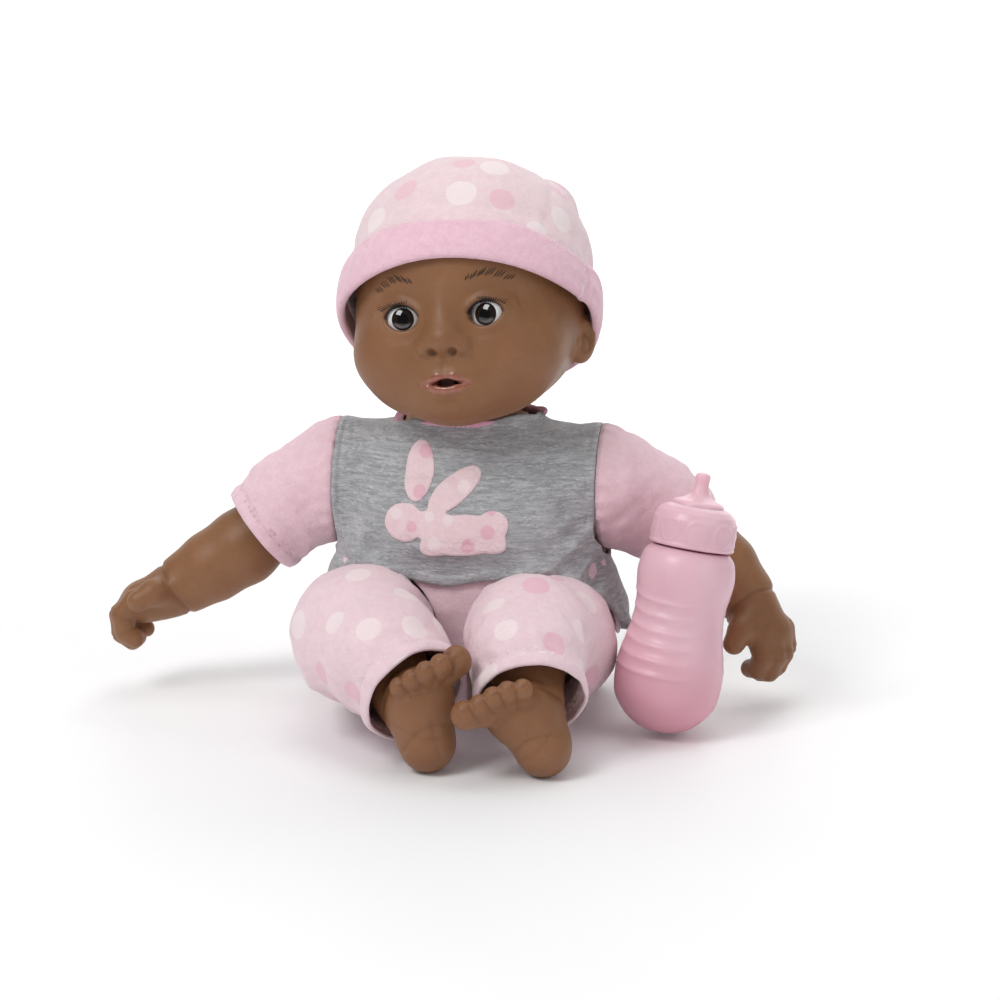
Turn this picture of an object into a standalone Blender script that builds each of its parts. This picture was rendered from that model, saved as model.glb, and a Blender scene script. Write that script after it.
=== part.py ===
"""Interactive baby doll, seated, with its feeding bottle.

Metres, +Z up. The doll faces -Y and its left hand is at +X. The origin is the middle of the
flat seat it rests on. Every number below is in millimetres and MM turns it into metres.
"""

import math

import bmesh
import bpy
import numpy as np
from mathutils import Matrix, Vector

MM = 0.001

# ---------------------------------------------------------------- driving dimensions
SIGN = {"right": -1, "left": 1}

HEAD_CENTRE = (0.7, -4.0, 160.0)
HEAD_RADII = (43.5, 45.5, 48.0)
HEAD_WALL = 3.0
HEAD_INSET = HEAD_WALL + 1.4  # parts inside the head stay this far below its surface
HEAD_TURN_DEG, HEAD_LEAN_DEG, HEAD_TIP_DEG, BODY_TURN_DEG = -14.0, -13.0, -3.0, 8.0
HAT_TILT_DEG = -29.0

# places in the head's own axes, from its centre
EYE_R = 9.4
EYE_GAP = 0.6
EYE_AT = {side: Vector((sign * 16.9, -31.8, -8.8)) for side, sign in SIGN.items()}
MOUTH_Z, MOUTH_R = -33.0, 3.2
PLUNGER_TIP_Y = -40.0
NECK_LOCAL = (0.0, 14.0, -62.0)
NECK_BALL_R = 20.0
NECK_LOW = NECK_BALL_R * math.sin(math.radians(-30))  # ends of the neck cloth, from its centre
NECK_TOP = NECK_BALL_R * math.sin(math.radians(31))

JOINT_GAP = 0.9
SHOULDER = {"right": (-57.0, 3.0, 86.0), "left": (57.0, 3.0, 86.0)}
SLEEVE_CAP_R = 21.5
SLEEVE_RADII = [SLEEVE_CAP_R, 17.8, 16.6]
HIP = {"right": (-31.0, -6.0, 27.0), "left": (32.0, -6.0, 27.0)}
HIP_CAP_R = 26.0
LEG_GAP = 1.8

CASE_X, CASE_Y, CASE_Z = 1.0, 11.0, 67.6
CASE_WIDTH, CASE_DEPTH, CASE_HEIGHT = 60.0, 28.0, 25.0
CASE_WALL = 1.8
CASE_FRONT = CASE_Y - CASE_DEPTH / 2
CASE_BACK = CASE_Y + CASE_DEPTH / 2
CASE_SPLIT = CASE_Y + 1.0
POCKET_GAP = 0.8
POCKET_REACH = 41.0  # how far the pocket runs on behind the case
SLIDER_X = CASE_X + 24.5
SPEAKER_X = CASE_X + 16.0
DOOR_X = CASE_X - 4.0
BUTTON_R = 12.0
BUTTON_FRONT = -26.0

BOTTLE_BASE = (81.8, -41.0, 21.4)
BOTTLE_AXIS = (0.14, 0.17, 0.944)

# body cross-sections: height, half width, half depth, centre y
BODY_X = 1.0
BODY_POWER = 2.5
TORSO = [
    (2.4, 50, 34, 4), (8, 55, 38, 3.5), (25, 56, 40, 2.5), (45, 55.5, 40, 2), (62, 53, 39, 1.5),
    (80, 49.5, 36, 1.5), (95, 46.5, 31, 1.5), (102.5, 41, 26, 1), (106.5, 34, 21, 0.5),
]
SHIRT = [
    (8, 60.5, 43.5, 4), (25, 62, 45.5, 3), (40, 61.5, 45.5, 2.5), (55, 60, 44.8, 2),
    (70, 56.5, 43, 1.5), (85, 53, 38, 1.5), (97, 52, 33, 1.5), (105, 48, 28.5, 1),
    (108.6, 39, 25.5, 0), (110.4, 30, 23.6, -1.5),
]

# legs: centre line from hip to ankle, and the radius at each point
LEG_PATH = {
    "right": [HIP["right"], (-34, -34, 33), (-33, -58, 40), (-19, -79, 36), (-6.5, -94, 28)],
    "left": [HIP["left"], (36, -36, 33), (31, -61, 41), (33, -80, 36.5), (36.5, -93.5, 27.5)],
}
LEG_RADII = {
    "right": [HIP_CAP_R, 26.0, 25.0, 22.5, 19.0],
    "left": [HIP_CAP_R, 25.0, 22.5, 21.0, 19.0],
}

# feet: heel and ball as (centre, radii), instep as a centre line, toes as (centre, radius)
FEET = {
    "right": dict(
        heel=((-1.0, -99.5, 10.6), (9.6, 9.6, 10.2)),
        ball=((-3.2, -101.5, 29.0), (12.6, 7.6, 12.0)),
        instep=[(-1.2, -99.5, 12), (-2.8, -100.5, 27)],
        toes=[((-9.9, -108, 33.0), 3.6), ((-4.8, -109.3, 36.7), 3.7), ((0.3, -109.8, 40.0), 3.8),
              ((5.6, -108.4, 43.0), 3.9), ((9.8, -100.5, 43.0), 5.3)]),
    "left": dict(
        heel=((42.0, -99.5, 10.6), (9.6, 9.6, 10.2)),
        ball=((32.5, -102.0, 24.5), (13.0, 7.8, 11.5)),
        instep=[(41.0, -99.5, 12), (34.0, -101, 24)],
        toes=[((35.4, -110.5, 35.4), 3.6), ((30.0, -111.6, 34.8), 3.7), ((25.0, -112.6, 32.6), 3.8),
              ((20.6, -113.4, 29.6), 3.9), ((15.0, -114.6, 26.6), 4.7)]),
}

# arms: the sleeve and forearm lines leave out their first point, which is worked out from the
# shoulder; the hand line goes on from the forearm's last point
ARMS = {
    "right": dict(
        sleeve=[(-70.9, 0.5, 75.2), (-82, -1.8, 65)],
        forearm=[(-90, -3.5, 58.5), (-102, -5.5, 50.8), (-112, -7.2, 44.5), (-117.5, -8.2, 41.2)],
        forearm_radii=[13.0, 14.0, 12.6, 10.2, 9.4],
        hand=[(-127, -9.0, 37.5), (-135.5, -9.8, 32.0), (-139, -10.2, 25.5), (-133, -12.0, 22.0)],
        hand_radii=[9.4, 11.4, 10.2, 7.4, 5.4],
        thumb=[(-123, -13, 37.0), (-131, -20.0, 34.5)]),
    "left": dict(
        sleeve=[(70.6, 9.7, 76.0), (81.5, 15.5, 67)],
        forearm=[(87.5, 18.5, 60.5), (97.5, 18.2, 51.5), (106, 14.2, 43.5), (109.5, 12.0, 40.2)],
        forearm_radii=[13.0, 14.0, 12.4, 10.2, 9.4],
        hand=[(113.5, 7.5, 34.5), (120.0, 3.0, 27.5), (125.5, -0.5, 20.5), (122.5, -4.0, 16.2)],
        hand_radii=[9.4, 11.4, 10.4, 7.4, 5.4],
        thumb=[(110, 1.0, 36.0), (105.5, -6.0, 30.5)]),
}

# finishes: colour, roughness, metallic
FINISHES = {
    "skin": ((0.25, 0.125, 0.07), 0.5, 0.0),
    "pink_cotton": ((0.86, 0.50, 0.60), 0.9, 0.0),
    "dot_cotton": ((0.88, 0.66, 0.68), 0.9, 0.0),
    "grey_jersey": ((0.42, 0.42, 0.44), 0.95, 0.0),
    "body_cloth": ((0.80, 0.72, 0.66), 0.95, 0.0),
    "bottle_pink": ((0.86, 0.48, 0.56), 0.35, 0.0),
    "eye_gloss": ((0.9, 0.9, 0.9), 0.1, 0.0),
    "white_plastic": ((0.8, 0.8, 0.8), 0.4, 0.0),
    "black_plastic": ((0.05, 0.05, 0.05), 0.5, 0.0),
    "green_board": ((0.05, 0.25, 0.1), 0.5, 0.0),
    "steel": ((0.6, 0.6, 0.62), 0.3, 1.0),
    "nylon": ((0.85, 0.85, 0.82), 0.5, 0.0),
    "cell": ((0.3, 0.3, 0.33), 0.35, 0.6),
    "print_pink": ((0.9, 0.62, 0.68), 0.8, 0.0),
}


# ---------------------------------------------------------------- placing
def turn(axis, degrees):
    return Matrix.Rotation(math.radians(degrees), 4, axis)


HEAD = (Matrix.Translation(HEAD_CENTRE) @ turn("Z", BODY_TURN_DEG) @ turn("X", HEAD_LEAN_DEG)
        @ turn("Y", HEAD_TIP_DEG) @ turn("Z", HEAD_TURN_DEG))
HEAD_UP = (HEAD.to_3x3() @ Vector((0, 0, 1))).normalized()
NECK = HEAD @ Vector(NECK_LOCAL)
NECK_PLACE = Matrix.Translation(NECK) @ HEAD.to_3x3().to_4x4()
HAT = HEAD @ turn("X", HAT_TILT_DEG)  # the cap sits tilted back on the head
BOTTLE_TURN = Vector(BOTTLE_AXIS).normalized().to_track_quat("Z", "Y")
BOTTLE = Matrix.Translation(BOTTLE_BASE) @ BOTTLE_TURN.to_matrix().to_4x4()

# joint frames: name, place, parent
FRAMES = [
    ("torso", (0, 0, 0), None),
    ("neck", NECK, "torso"),
    ("head", NECK, "neck"),
    ("hat", HEAD.translation, "head"),
    ("eye_left", HEAD @ EYE_AT["left"], "head"),
    ("eye_right", HEAD @ EYE_AT["right"], "head"),
    ("mouth_plunger", HEAD @ Vector((0, PLUNGER_TIP_Y, MOUTH_Z)), "head"),
    ("shoulder_link_left", SHOULDER["left"], "torso"),
    ("shoulder_link_right", SHOULDER["right"], "torso"),
    ("arm_left", SHOULDER["left"], "shoulder_link_left"),
    ("arm_right", SHOULDER["right"], "shoulder_link_right"),
    ("leg_left", HIP["left"], "torso"),
    ("leg_right", HIP["right"], "torso"),
    ("tummy_button", (CASE_X, -22, CASE_Z), "torso"),
    ("power_slider", (SLIDER_X, CASE_BACK, CASE_Z), "torso"),
    ("bottle", BOTTLE_BASE, "torso"),
]

# ---------------------------------------------------------------- scene objects
for old in list(bpy.data.objects):
    bpy.data.objects.remove(old, do_unlink=True)
scene = bpy.context.scene
materials = {}
frames = {}


def add_material(name, colour, roughness, metallic):
    material = bpy.data.materials.new(name)
    material.use_nodes = True
    shader = material.node_tree.nodes["Principled BSDF"]
    shader.inputs["Base Color"].default_value = (*colour, 1)
    shader.inputs["Roughness"].default_value = roughness
    shader.inputs["Metallic"].default_value = metallic
    materials[name] = material


def add_frame(name, place, parent):
    """An empty on a joint that carries the moving piece's objects."""
    empty = bpy.data.objects.new("frame_" + name, None)
    scene.collection.objects.link(empty)
    empty.empty_display_size = 0.01
    empty.location = Vector(place) * MM
    if parent:
        empty.parent = frames[parent]
        empty.location = Vector(place) * MM - frames[parent].matrix_world.translation
    frames[name] = empty
    bpy.context.view_layer.update()


def add_object(name, bm, smooth=True):
    """Puts a bmesh given in millimetres and world axes into the scene."""
    bmesh.ops.recalc_face_normals(bm, faces=bm.faces[:])
    mesh = bpy.data.meshes.new(name)
    bm.to_mesh(mesh)
    bm.free()
    mesh.transform(Matrix.Scale(MM, 4))
    thing = bpy.data.objects.new(name, mesh)
    scene.collection.objects.link(thing)
    if smooth:
        mesh.shade_smooth()
        mesh.set_sharp_from_angle(angle=math.radians(40))
    return thing


def add_part(name, bm, material, frame, smooth=True):
    """A visible piece, its origin on its frame's joint."""
    part = add_object(name, bm, smooth)
    part.data.materials.append(materials[material])
    part.data.transform(Matrix.Translation(-frames[frame].matrix_world.translation))
    part.parent = frames[frame]
    return part


def add_helper(name, bm):
    helper = add_object(name, bm)
    helper.hide_render = True
    helper.display_type = "WIRE"
    return helper


def boolean(part, helper, operation="DIFFERENCE"):
    modifier = part.modifiers.new("bool", "BOOLEAN")
    modifier.operation = operation
    modifier.solver = "EXACT"
    modifier.object = helper


def cut(part, name, bm):
    boolean(part, add_helper(name, bm))


def fuse(part, name, bm):
    boolean(part, add_helper(name, bm), "UNION")


def bevel(part, width):
    modifier = part.modifiers.new("bevel", "BEVEL")
    modifier.width = width * MM
    modifier.segments = 2
    modifier.limit_method = "ANGLE"


# ---------------------------------------------------------------- rings and solids
def join_rings(rings, loop=False):
    """Bridges rings in order; the ends are closed with fans, or the last meets the first."""
    bm = bmesh.new()
    rows = [[bm.verts.new(point) for point in ring] for ring in rings]
    count = len(rows[0])
    pairs = list(zip(rows[:-1], rows[1:]))
    if loop:
        pairs.append((rows[-1], rows[0]))
    for a, b in pairs:
        for i in range(count):
            j = (i + 1) % count
            bm.faces.new((a[i], a[j], b[j], b[i]))
    if not loop:
        for row in (rows[0], rows[-1]):
            middle = bm.verts.new(sum((vert.co for vert in row), Vector()) / count)
            for i in range(count):
                bm.faces.new((row[i], row[(i + 1) % count], middle))
    return bm


def circle(radius, sides):
    angles = [2 * math.pi * i / sides for i in range(sides)]
    return [(radius * math.cos(a), radius * math.sin(a)) for a in angles]


def oval_point(angle, z, half_width, half_depth, centre_y, power=BODY_POWER):
    """A point on a squared-off ellipse (superellipse) about the body's middle line."""
    c, s = math.cos(angle), math.sin(angle)
    x = half_width * math.copysign(abs(c) ** (2 / power), c)
    y = half_depth * math.copysign(abs(s) ** (2 / power), s)
    return Vector((BODY_X + x, centre_y + y, z))


def oval(z, half_width, half_depth, centre_y, sides=32, power=BODY_POWER):
    return [oval_point(2 * math.pi * i / sides, z, half_width, half_depth, centre_y, power)
            for i in range(sides)]


def section_at(table, z, grow=0.0):
    """Half width, half depth and centre y of a body table at a height."""
    heights = [row[0] for row in table]
    half_width, half_depth, centre_y = [
        float(np.interp(z, heights, [row[k] for row in table])) for k in (1, 2, 3)]
    return half_width + grow, half_depth + grow, centre_y


def body_ring(table, z, grow=0.0):
    return oval(z, *section_at(table, z, grow))


def path_frames(points):
    """Centre, tangent and two cross directions at each point, carried along without twist."""
    points = [Vector(p) for p in points]
    tangents = []
    for i in range(len(points)):
        before, after = points[max(i - 1, 0)], points[min(i + 1, len(points) - 1)]
        tangents.append((after - before).normalized())
    normal = Vector((1, 0, 0))
    if abs(tangents[0].z) < 0.95:
        normal = tangents[0].cross(Vector((0, 0, 1))).normalized()
    result = []
    for point, tangent in zip(points, tangents):
        normal = (normal - tangent * normal.dot(tangent)).normalized()
        result.append((point, tangent, normal, tangent.cross(normal)))
    return result


def smooth_path(points, radii):
    """Catmull-Rom points between the given ones, with radii in between."""
    steps = 2
    p = [Vector(q) for q in points]
    path, path_radii = [], []
    for i in range(len(p) - 1):
        a, b, c, d = p[max(i - 1, 0)], p[i], p[i + 1], p[min(i + 2, len(p) - 1)]
        for k in range(steps):
            t = k / steps
            path.append(0.5 * ((2 * b) + (c - a) * t + (2 * a - 5 * b + 4 * c - d) * t * t
                               + (3 * b - a - 3 * c + d) * t ** 3))
            path_radii.append(radii[i] * (1 - t) + radii[i + 1] * t)
    return path + [p[-1]], path_radii + [radii[-1]]


def ring_at(frame, radius, sides, shift=0.0):
    centre, tangent, u, v = frame
    return [centre + tangent * shift + (u * x + v * y) * radius for x, y in circle(1.0, sides)]


def limb_rings(points, radii, sides, dome_steps, start_dome=True, end_dome=True):
    def dome(frame, radius, direction):
        angles = [math.pi / 2 * k / dome_steps for k in range(1, dome_steps)]
        return [ring_at(frame, radius * math.sin(a), sides, direction * radius * math.cos(a))
                for a in angles]

    path = path_frames(points)
    rings = [ring_at(frame, radius, sides) for frame, radius in zip(path, radii)]
    if start_dome:
        rings = dome(path[0], radii[0], -1) + rings
    if end_dome:
        rings += dome(path[-1], radii[-1], 1)[::-1]
    return rings


def limb(points, radii, sides, dome_steps, start_dome=True, end_dome=True):
    return join_rings(limb_rings(points, radii, sides, dome_steps, start_dome, end_dome))


def sock(points, radii, wall):
    """A cloth tube with one domed, closed end at its joint and an open cuff."""
    outer = limb_rings(points, radii, 18, 4, end_dome=False)
    inner = limb_rings(points, [r - wall for r in radii], 18, 4, end_dome=False)
    return join_rings(outer + inner[::-1])


def moved(bm, matrix):
    bmesh.ops.transform(bm, matrix=matrix, verts=bm.verts[:])
    return bm


def sized(bm, size, centre):
    bmesh.ops.scale(bm, vec=size, verts=bm.verts[:])
    bmesh.ops.translate(bm, vec=centre, verts=bm.verts[:])
    return bm


def ball(centre, radii, around, rows):
    """A sphere, or an ellipsoid where three radii are given."""
    bm = bmesh.new()
    bmesh.ops.create_uvsphere(bm, u_segments=around, v_segments=rows, radius=1.0)
    return sized(bm, radii if isinstance(radii, (tuple, list)) else (radii,) * 3, centre)


def head_ball(grow, around, rows, place=HEAD):
    """The head's ellipsoid made larger or smaller."""
    return moved(ball((0, 0, 0), [r + grow for r in HEAD_RADII], around, rows), place)


def block(centre, size):
    bm = bmesh.new()
    bmesh.ops.create_cube(bm, size=1.0)
    return sized(bm, size, centre)


def rod(start, end, radius, sides):
    return join_rings([ring_at(frame, radius, sides) for frame in path_frames([start, end])])


def pipe(start, end, outer_r, inner_r, sides):
    a, b = path_frames([start, end])
    stations = ((a, outer_r), (b, outer_r), (b, inner_r), (a, inner_r))
    return join_rings([ring_at(frame, r, sides) for frame, r in stations], loop=True)


def revolved(profile, place, sides, loop=False):
    """A profile of (radius, height) turned about +Z, then placed."""
    rings = [[place @ Vector((x, y, h)) for x, y in circle(r, sides)] for r, h in profile]
    return join_rings(rings, loop)


def turned(axis, profile, centre, sides, loop=False):
    """A profile of (radius, distance from the centre) turned about the X or Y axis."""
    rings = []
    for radius, along in profile:
        offsets = [(along, a, z) if axis == "X" else (a, along, z)
                   for a, z in circle(radius, sides)]
        rings.append([Vector(centre) + Vector(offset) for offset in offsets])
    return join_rings(rings, loop)


# ---------------------------------------------------------------- cutters shared by body and clothes
def shoulder_cutters():
    """For each side, the armpit's cylinder and the shoulder's ball."""
    armpits, shoulders = [], []
    for side, sign in SIGN.items():
        x, y, z = SHOULDER[side]
        armpit = rod((sign * 53.2, y, z), (sign * 75, y, z), 27.0, 28)
        armpits.append(add_helper("cut_armpit_" + side[0], armpit))
        shoulder = ball((x, y, z), SLEEVE_CAP_R + JOINT_GAP, 20, 12)
        shoulders.append(add_helper("cut_shoulder_" + side[0], shoulder))
    return armpits, shoulders


def leg_cutters():
    """For each side, the leg's own room, then the block in front of and below the hip."""
    cutters = []
    for side, sign in SIGN.items():
        radii = [r + LEG_GAP for r in LEG_RADII[side][:4]]
        room = limb(*smooth_path(LEG_PATH[side][:4], radii), 20, 4)
        cutters.append(add_helper("cut_leg_" + side[0], room))
        x_near, x_far = 3.4, 90.0
        front, back = -120.0, HIP[side][1] + HIP_CAP_R + LEG_GAP
        low, high = -20.0, HIP[side][2]
        centre = (sign * (x_near + x_far) / 2, (front + back) / 2, (low + high) / 2)
        swing = block(centre, (x_far - x_near, back - front, high - low))
        cutters.append(add_helper("cut_swing_" + side[0], swing))
    return cutters


# ---------------------------------------------------------------- torso and clothes
def build_torso(cutters):
    """The cloth cushion with a pocket for the sound module, open at the back."""
    torso = add_part("torso_cushion", join_rings([body_ring(TORSO, row[0]) for row in TORSO]),
                     "body_cloth", "torso")
    for cutter in cutters:
        boolean(torso, cutter)
    size = (CASE_WIDTH + 2 * POCKET_GAP, CASE_DEPTH + 2 * POCKET_GAP + POCKET_REACH,
            CASE_HEIGHT + 2 * POCKET_GAP)
    cut(torso, "cut_pocket", block((CASE_X, CASE_Y + POCKET_REACH / 2, CASE_Z), size))
    cut(torso, "cut_plunge",
        rod((CASE_X, -30.5, CASE_Z), (CASE_X, 0, CASE_Z), BUTTON_R + 1.0, 24))


def build_seat(cutters):
    """The pants seat: a cup of dotted cotton with a flat base."""
    heights = [3, 8, 25, 45, 60]
    outer = [oval(0.0, 51.0, 35.0, 4)] + [body_ring(TORSO, z, 2.3) for z in heights]
    inner = [oval(1.8, 50.4, 34.4, 4), oval(2.4, 50.8, 34.8, 4)]
    inner += [body_ring(TORSO, z, 0.7) for z in heights[1:]]
    seat = add_part("pants_seat", join_rings(outer + inner[::-1]), "dot_cotton", "torso")
    for cutter in cutters:
        boolean(seat, cutter)


def build_shirt(cutters):
    """A jersey shell with armholes and a slanting hem."""
    wall = 1.8
    outer = [body_ring(SHIRT, row[0]) for row in SHIRT]
    inner = [body_ring(SHIRT, row[0], -wall) for row in SHIRT]
    shirt = add_part("shirt_body", join_rings(outer + inner[::-1], loop=True),
                     "grey_jersey", "torso")
    for cutter in cutters:
        boolean(shirt, cutter)
    below_hem = moved(block((0, 0, -100), (300, 400, 200)), turn("X", -42.0))
    cut(shirt, "cut_hem", moved(below_hem, Matrix.Translation((0, 0, 34))))


def add_patch(name, heights, angles, offsets, material, rows, columns):
    """A thin cloth patch that follows the shirt's surface; angles are in degrees from +X."""
    bm = bmesh.new()
    z0, z1 = heights
    a0, a1 = (math.radians(a) for a in angles)
    grids = []
    for offset in offsets:
        grid = []
        for k in range(rows + 1):
            z = z0 + (z1 - z0) * k / rows
            section = section_at(SHIRT, z, offset)
            grid.append([bm.verts.new(oval_point(a0 + (a1 - a0) * i / columns, z, *section))
                         for i in range(columns + 1)])
        grids.append(grid)
    lo, hi = grids
    for k in range(rows):
        for i in range(columns):
            bm.faces.new((lo[k][i], lo[k][i + 1], lo[k + 1][i + 1], lo[k + 1][i]))
            bm.faces.new((hi[k][i], hi[k + 1][i], hi[k + 1][i + 1], hi[k][i + 1]))
    for k in range(rows):
        for i in (0, columns):
            bm.faces.new((lo[k][i], lo[k + 1][i], hi[k + 1][i], hi[k][i]))
    for i in range(columns):
        for k in (0, rows):
            bm.faces.new((lo[k][i], lo[k][i + 1], hi[k][i + 1], hi[k][i]))
    add_part(name, bm, material, "torso", smooth=False)


def build_neckband():
    """A ring on the shirt's top edge, higher at the back."""
    # half width, half depth, height, share of the rise
    sections = [(25.6, 20.6, 110.8, 0.0), (30.0, 24.4, 110.8, 0.0), (30.6, 25.0, 112.2, 0.5),
                (29.6, 24.2, 113.5, 1.0), (26.4, 21.4, 113.5, 1.0)]
    slope, front_y = 0.045, -26
    rings = []
    for half_width, half_depth, z, rise in sections:
        ring = oval(z, half_width, half_depth, -1.5, sides=24, power=2.1)
        rings.append([Vector((p.x, p.y, p.z + rise * slope * (p.y - front_y))) for p in ring])
    neckband = add_part("shirt_neckband", join_rings(rings, loop=True), "pink_cotton", "torso")
    # room for the jaw at the ends of the head's travel: nod and swing in degrees
    for k, (nod, swing) in enumerate(((-5, -40), (3, 45))):
        travel = (Matrix.Translation(NECK) @ turn("X", nod) @ turn(HEAD_UP, swing)
                  @ Matrix.Translation(-NECK))
        cut(neckband, "cut_jaw%d" % k, head_ball(0.6, 28, 18, travel @ HEAD))


# ---------------------------------------------------------------- neck and head
def build_neck():
    """The cloth neck ring and its cable tie."""
    end_r = 14.4
    angles = [math.radians(a) for a in (-30, -15, 0, 15, 31)]
    curve = [(NECK_BALL_R * math.cos(a), NECK_BALL_R * math.sin(a)) for a in angles]
    profile = [(end_r, NECK_LOW)] + curve + [(end_r, NECK_TOP)]
    add_part("neck_cloth", revolved(profile, NECK_PLACE, 24, loop=True), "body_cloth", "neck")
    low, high = NECK_TOP + 0.4, NECK_TOP + 2.3
    profile = [(13.1, low), (15.4, low), (15.4, high), (13.1, high)]
    add_part("neck_tie", revolved(profile, NECK_PLACE, 18, loop=True), "nylon", "neck")


def build_head():
    """The hollow head with ears, flanged neck stem, eye seats and mouth hole."""
    head = add_part("head_shell", head_ball(0, 24, 16), "skin", "head")
    stem = [(12.2, NECK_LOW - 2.9), (13.9, NECK_LOW - 2.4), (13.9, NECK_LOW - 0.9),
            (12.4, NECK_LOW - 0.4), (12.4, 14.6), (15, 20.0)]
    fuse(head, "add_neck_stem", revolved(stem, NECK_PLACE, 16))
    for sign in (-1, 1):
        place = (HEAD @ Matrix.Translation((sign * 41.3, 5.0, -18.0)) @ turn("Z", -sign * 24)
                 @ turn("Y", sign * 6))
        fuse(head, "add_ear%d" % sign, moved(ball((0, 0, 0), (4.0, 6.8, 9.0), 12, 8), place))
    cut(head, "cut_head_hollow", head_ball(-HEAD_WALL, 18, 12))
    cut(head, "cut_neck_bore", revolved([(9.8, -22), (9.8, 30)], NECK_PLACE, 12))
    for side in ("left", "right"):
        eye = EYE_AT[side]
        cut(head, "cut_eye_seat_" + side[0], moved(ball(eye, EYE_R + EYE_GAP, 16, 10), HEAD))
        hole = rod(eye, eye + Vector((0, -30, 0)), 6.3, 14)
        cut(head, "cut_eye_hole_" + side[0], moved(hole, HEAD))
    mouth = rod((0, -60, MOUTH_Z), (0, -20, MOUTH_Z), MOUTH_R, 16)
    cut(head, "cut_mouth", moved(mouth, HEAD))


def build_eye(side):
    """A sleep eye: a ball with an inward axle and a weight behind it, in a ring housing."""
    centre = EYE_AT[side]
    inward = Vector((-SIGN[side], 0, 0))
    eye = add_part("eye_" + side, moved(ball(centre, EYE_R, 16, 10), HEAD),
                   "eye_gloss", "eye_" + side)
    fuse(eye, "add_axle_" + side, moved(rod(centre + inward * 11.3, centre, 1.2, 10), HEAD))
    weight = rod(centre + Vector((0, 6, -3)), centre + Vector((0, 16.5, -8.5)), 2.6, 12)
    fuse(eye, "add_weight_" + side, moved(weight, HEAD))

    # the housing is a zone of a hollow sphere with a bearing hole for the axle
    outer, inner = [[(math.sqrt(r * r - y * y), y) for y in (-3.6, 0, 3.6, 6.0)]
                    for r in (EYE_R + 2.0, EYE_R + EYE_GAP)]
    ring = turned("Y", outer + inner[::-1], centre, 18, loop=True)
    housing = add_part("eye_housing_" + side, moved(ring, HEAD), "white_plastic", "head")
    bearing = rod(centre + inward * 20, centre, 1.6, 10)
    cut(housing, "cut_bearing_" + side, moved(bearing, HEAD))
    clear = add_helper("cut_cup_clear_" + side, head_ball(-HEAD_INSET, 20, 14))
    boolean(housing, clear, "INTERSECT")


def build_mouth():
    """The mouth switch: guide tube, plunger and switch box, from front to back."""
    def on_axis(y):
        return Vector((0, y, MOUTH_Z))

    guide = add_part("mouth_guide", moved(pipe(on_axis(-38), on_axis(-19), 4.9, 3.0, 18), HEAD),
                     "white_plastic", "head")
    clear = add_helper("cut_guide_clear", head_ball(-HEAD_INSET, 20, 14))
    boolean(guide, clear, "INTERSECT")
    plunger = rod(on_axis(PLUNGER_TIP_Y), on_axis(-14.4), 2.6, 16)
    add_part("mouth_plunger", moved(plunger, HEAD), "black_plastic", "mouth_plunger")
    switch = add_part("mouth_switch", moved(block(on_axis(-6.0), (12, 9, 9)), HEAD),
                      "black_plastic", "head", smooth=False)
    bevel(switch, 0.6)


def build_hat():
    """The knitted cap: crown and turned-up cuff, as (radius, height) profiles."""
    crown = [(48.2, -2.0), (48.3, 8), (47.4, 17), (44.8, 27), (39.6, 36.5), (31.6, 44.4),
             (21.4, 50.2), (10.0, 53.4)]
    inside = [(r - 1.3, h - (0 if h < 15 else 1.7)) for r, h in crown]
    add_part("hat_crown", revolved(crown[::-1] + inside, HAT, 26), "dot_cotton", "hat")
    cuff = [(49.3, -10.6), (50.8, -12.0), (51.8, -9.0), (51.8, 4), (50.8, 7.0), (49.3, 6.2)]
    add_part("hat_cuff", revolved(cuff, HAT, 24, loop=True), "pink_cotton", "hat")


# ---------------------------------------------------------------- limbs
def build_arm(side):
    arm, frame = ARMS[side], "arm_" + side
    shoulder = Vector(SHOULDER[side])
    direction = (Vector(arm["sleeve"][-1]) - shoulder).normalized()

    def out(distance):
        return shoulder + direction * distance

    sleeve = sock(*smooth_path([shoulder] + arm["sleeve"], SLEEVE_RADII), 1.6)
    add_part("sleeve_" + side, sleeve, "pink_cotton", frame)
    add_part("shoulder_gusset_" + side, ball(shoulder, 12.6, 12, 8), "body_cloth",
             "shoulder_link_" + side)
    add_part("upper_arm_cloth_" + side, pipe(out(13.4), out(25.2), 12.6, 9.0, 18),
             "body_cloth", frame)
    add_part("arm_tie_" + side, pipe(out(21), out(23.6), 14.2, 13.0, 18), "nylon", frame)

    # vinyl forearm with a spigot inside the cloth, hand and thumb
    path = smooth_path([out(27.2)] + arm["forearm"], arm["forearm_radii"])
    forearm = add_part("forearm_" + side, limb(*path, 14, 3, start_dome=False), "skin", frame)
    fuse(forearm, "add_spigot_" + side, rod(out(16), out(31), 8.2, 12))
    path = smooth_path([arm["forearm"][-1]] + arm["hand"], arm["hand_radii"])
    fuse(forearm, "add_hand_" + side, limb(*path, 12, 2))
    fuse(forearm, "add_thumb_" + side, limb(arm["thumb"], [5.4, 4.2], 8, 2))


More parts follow.
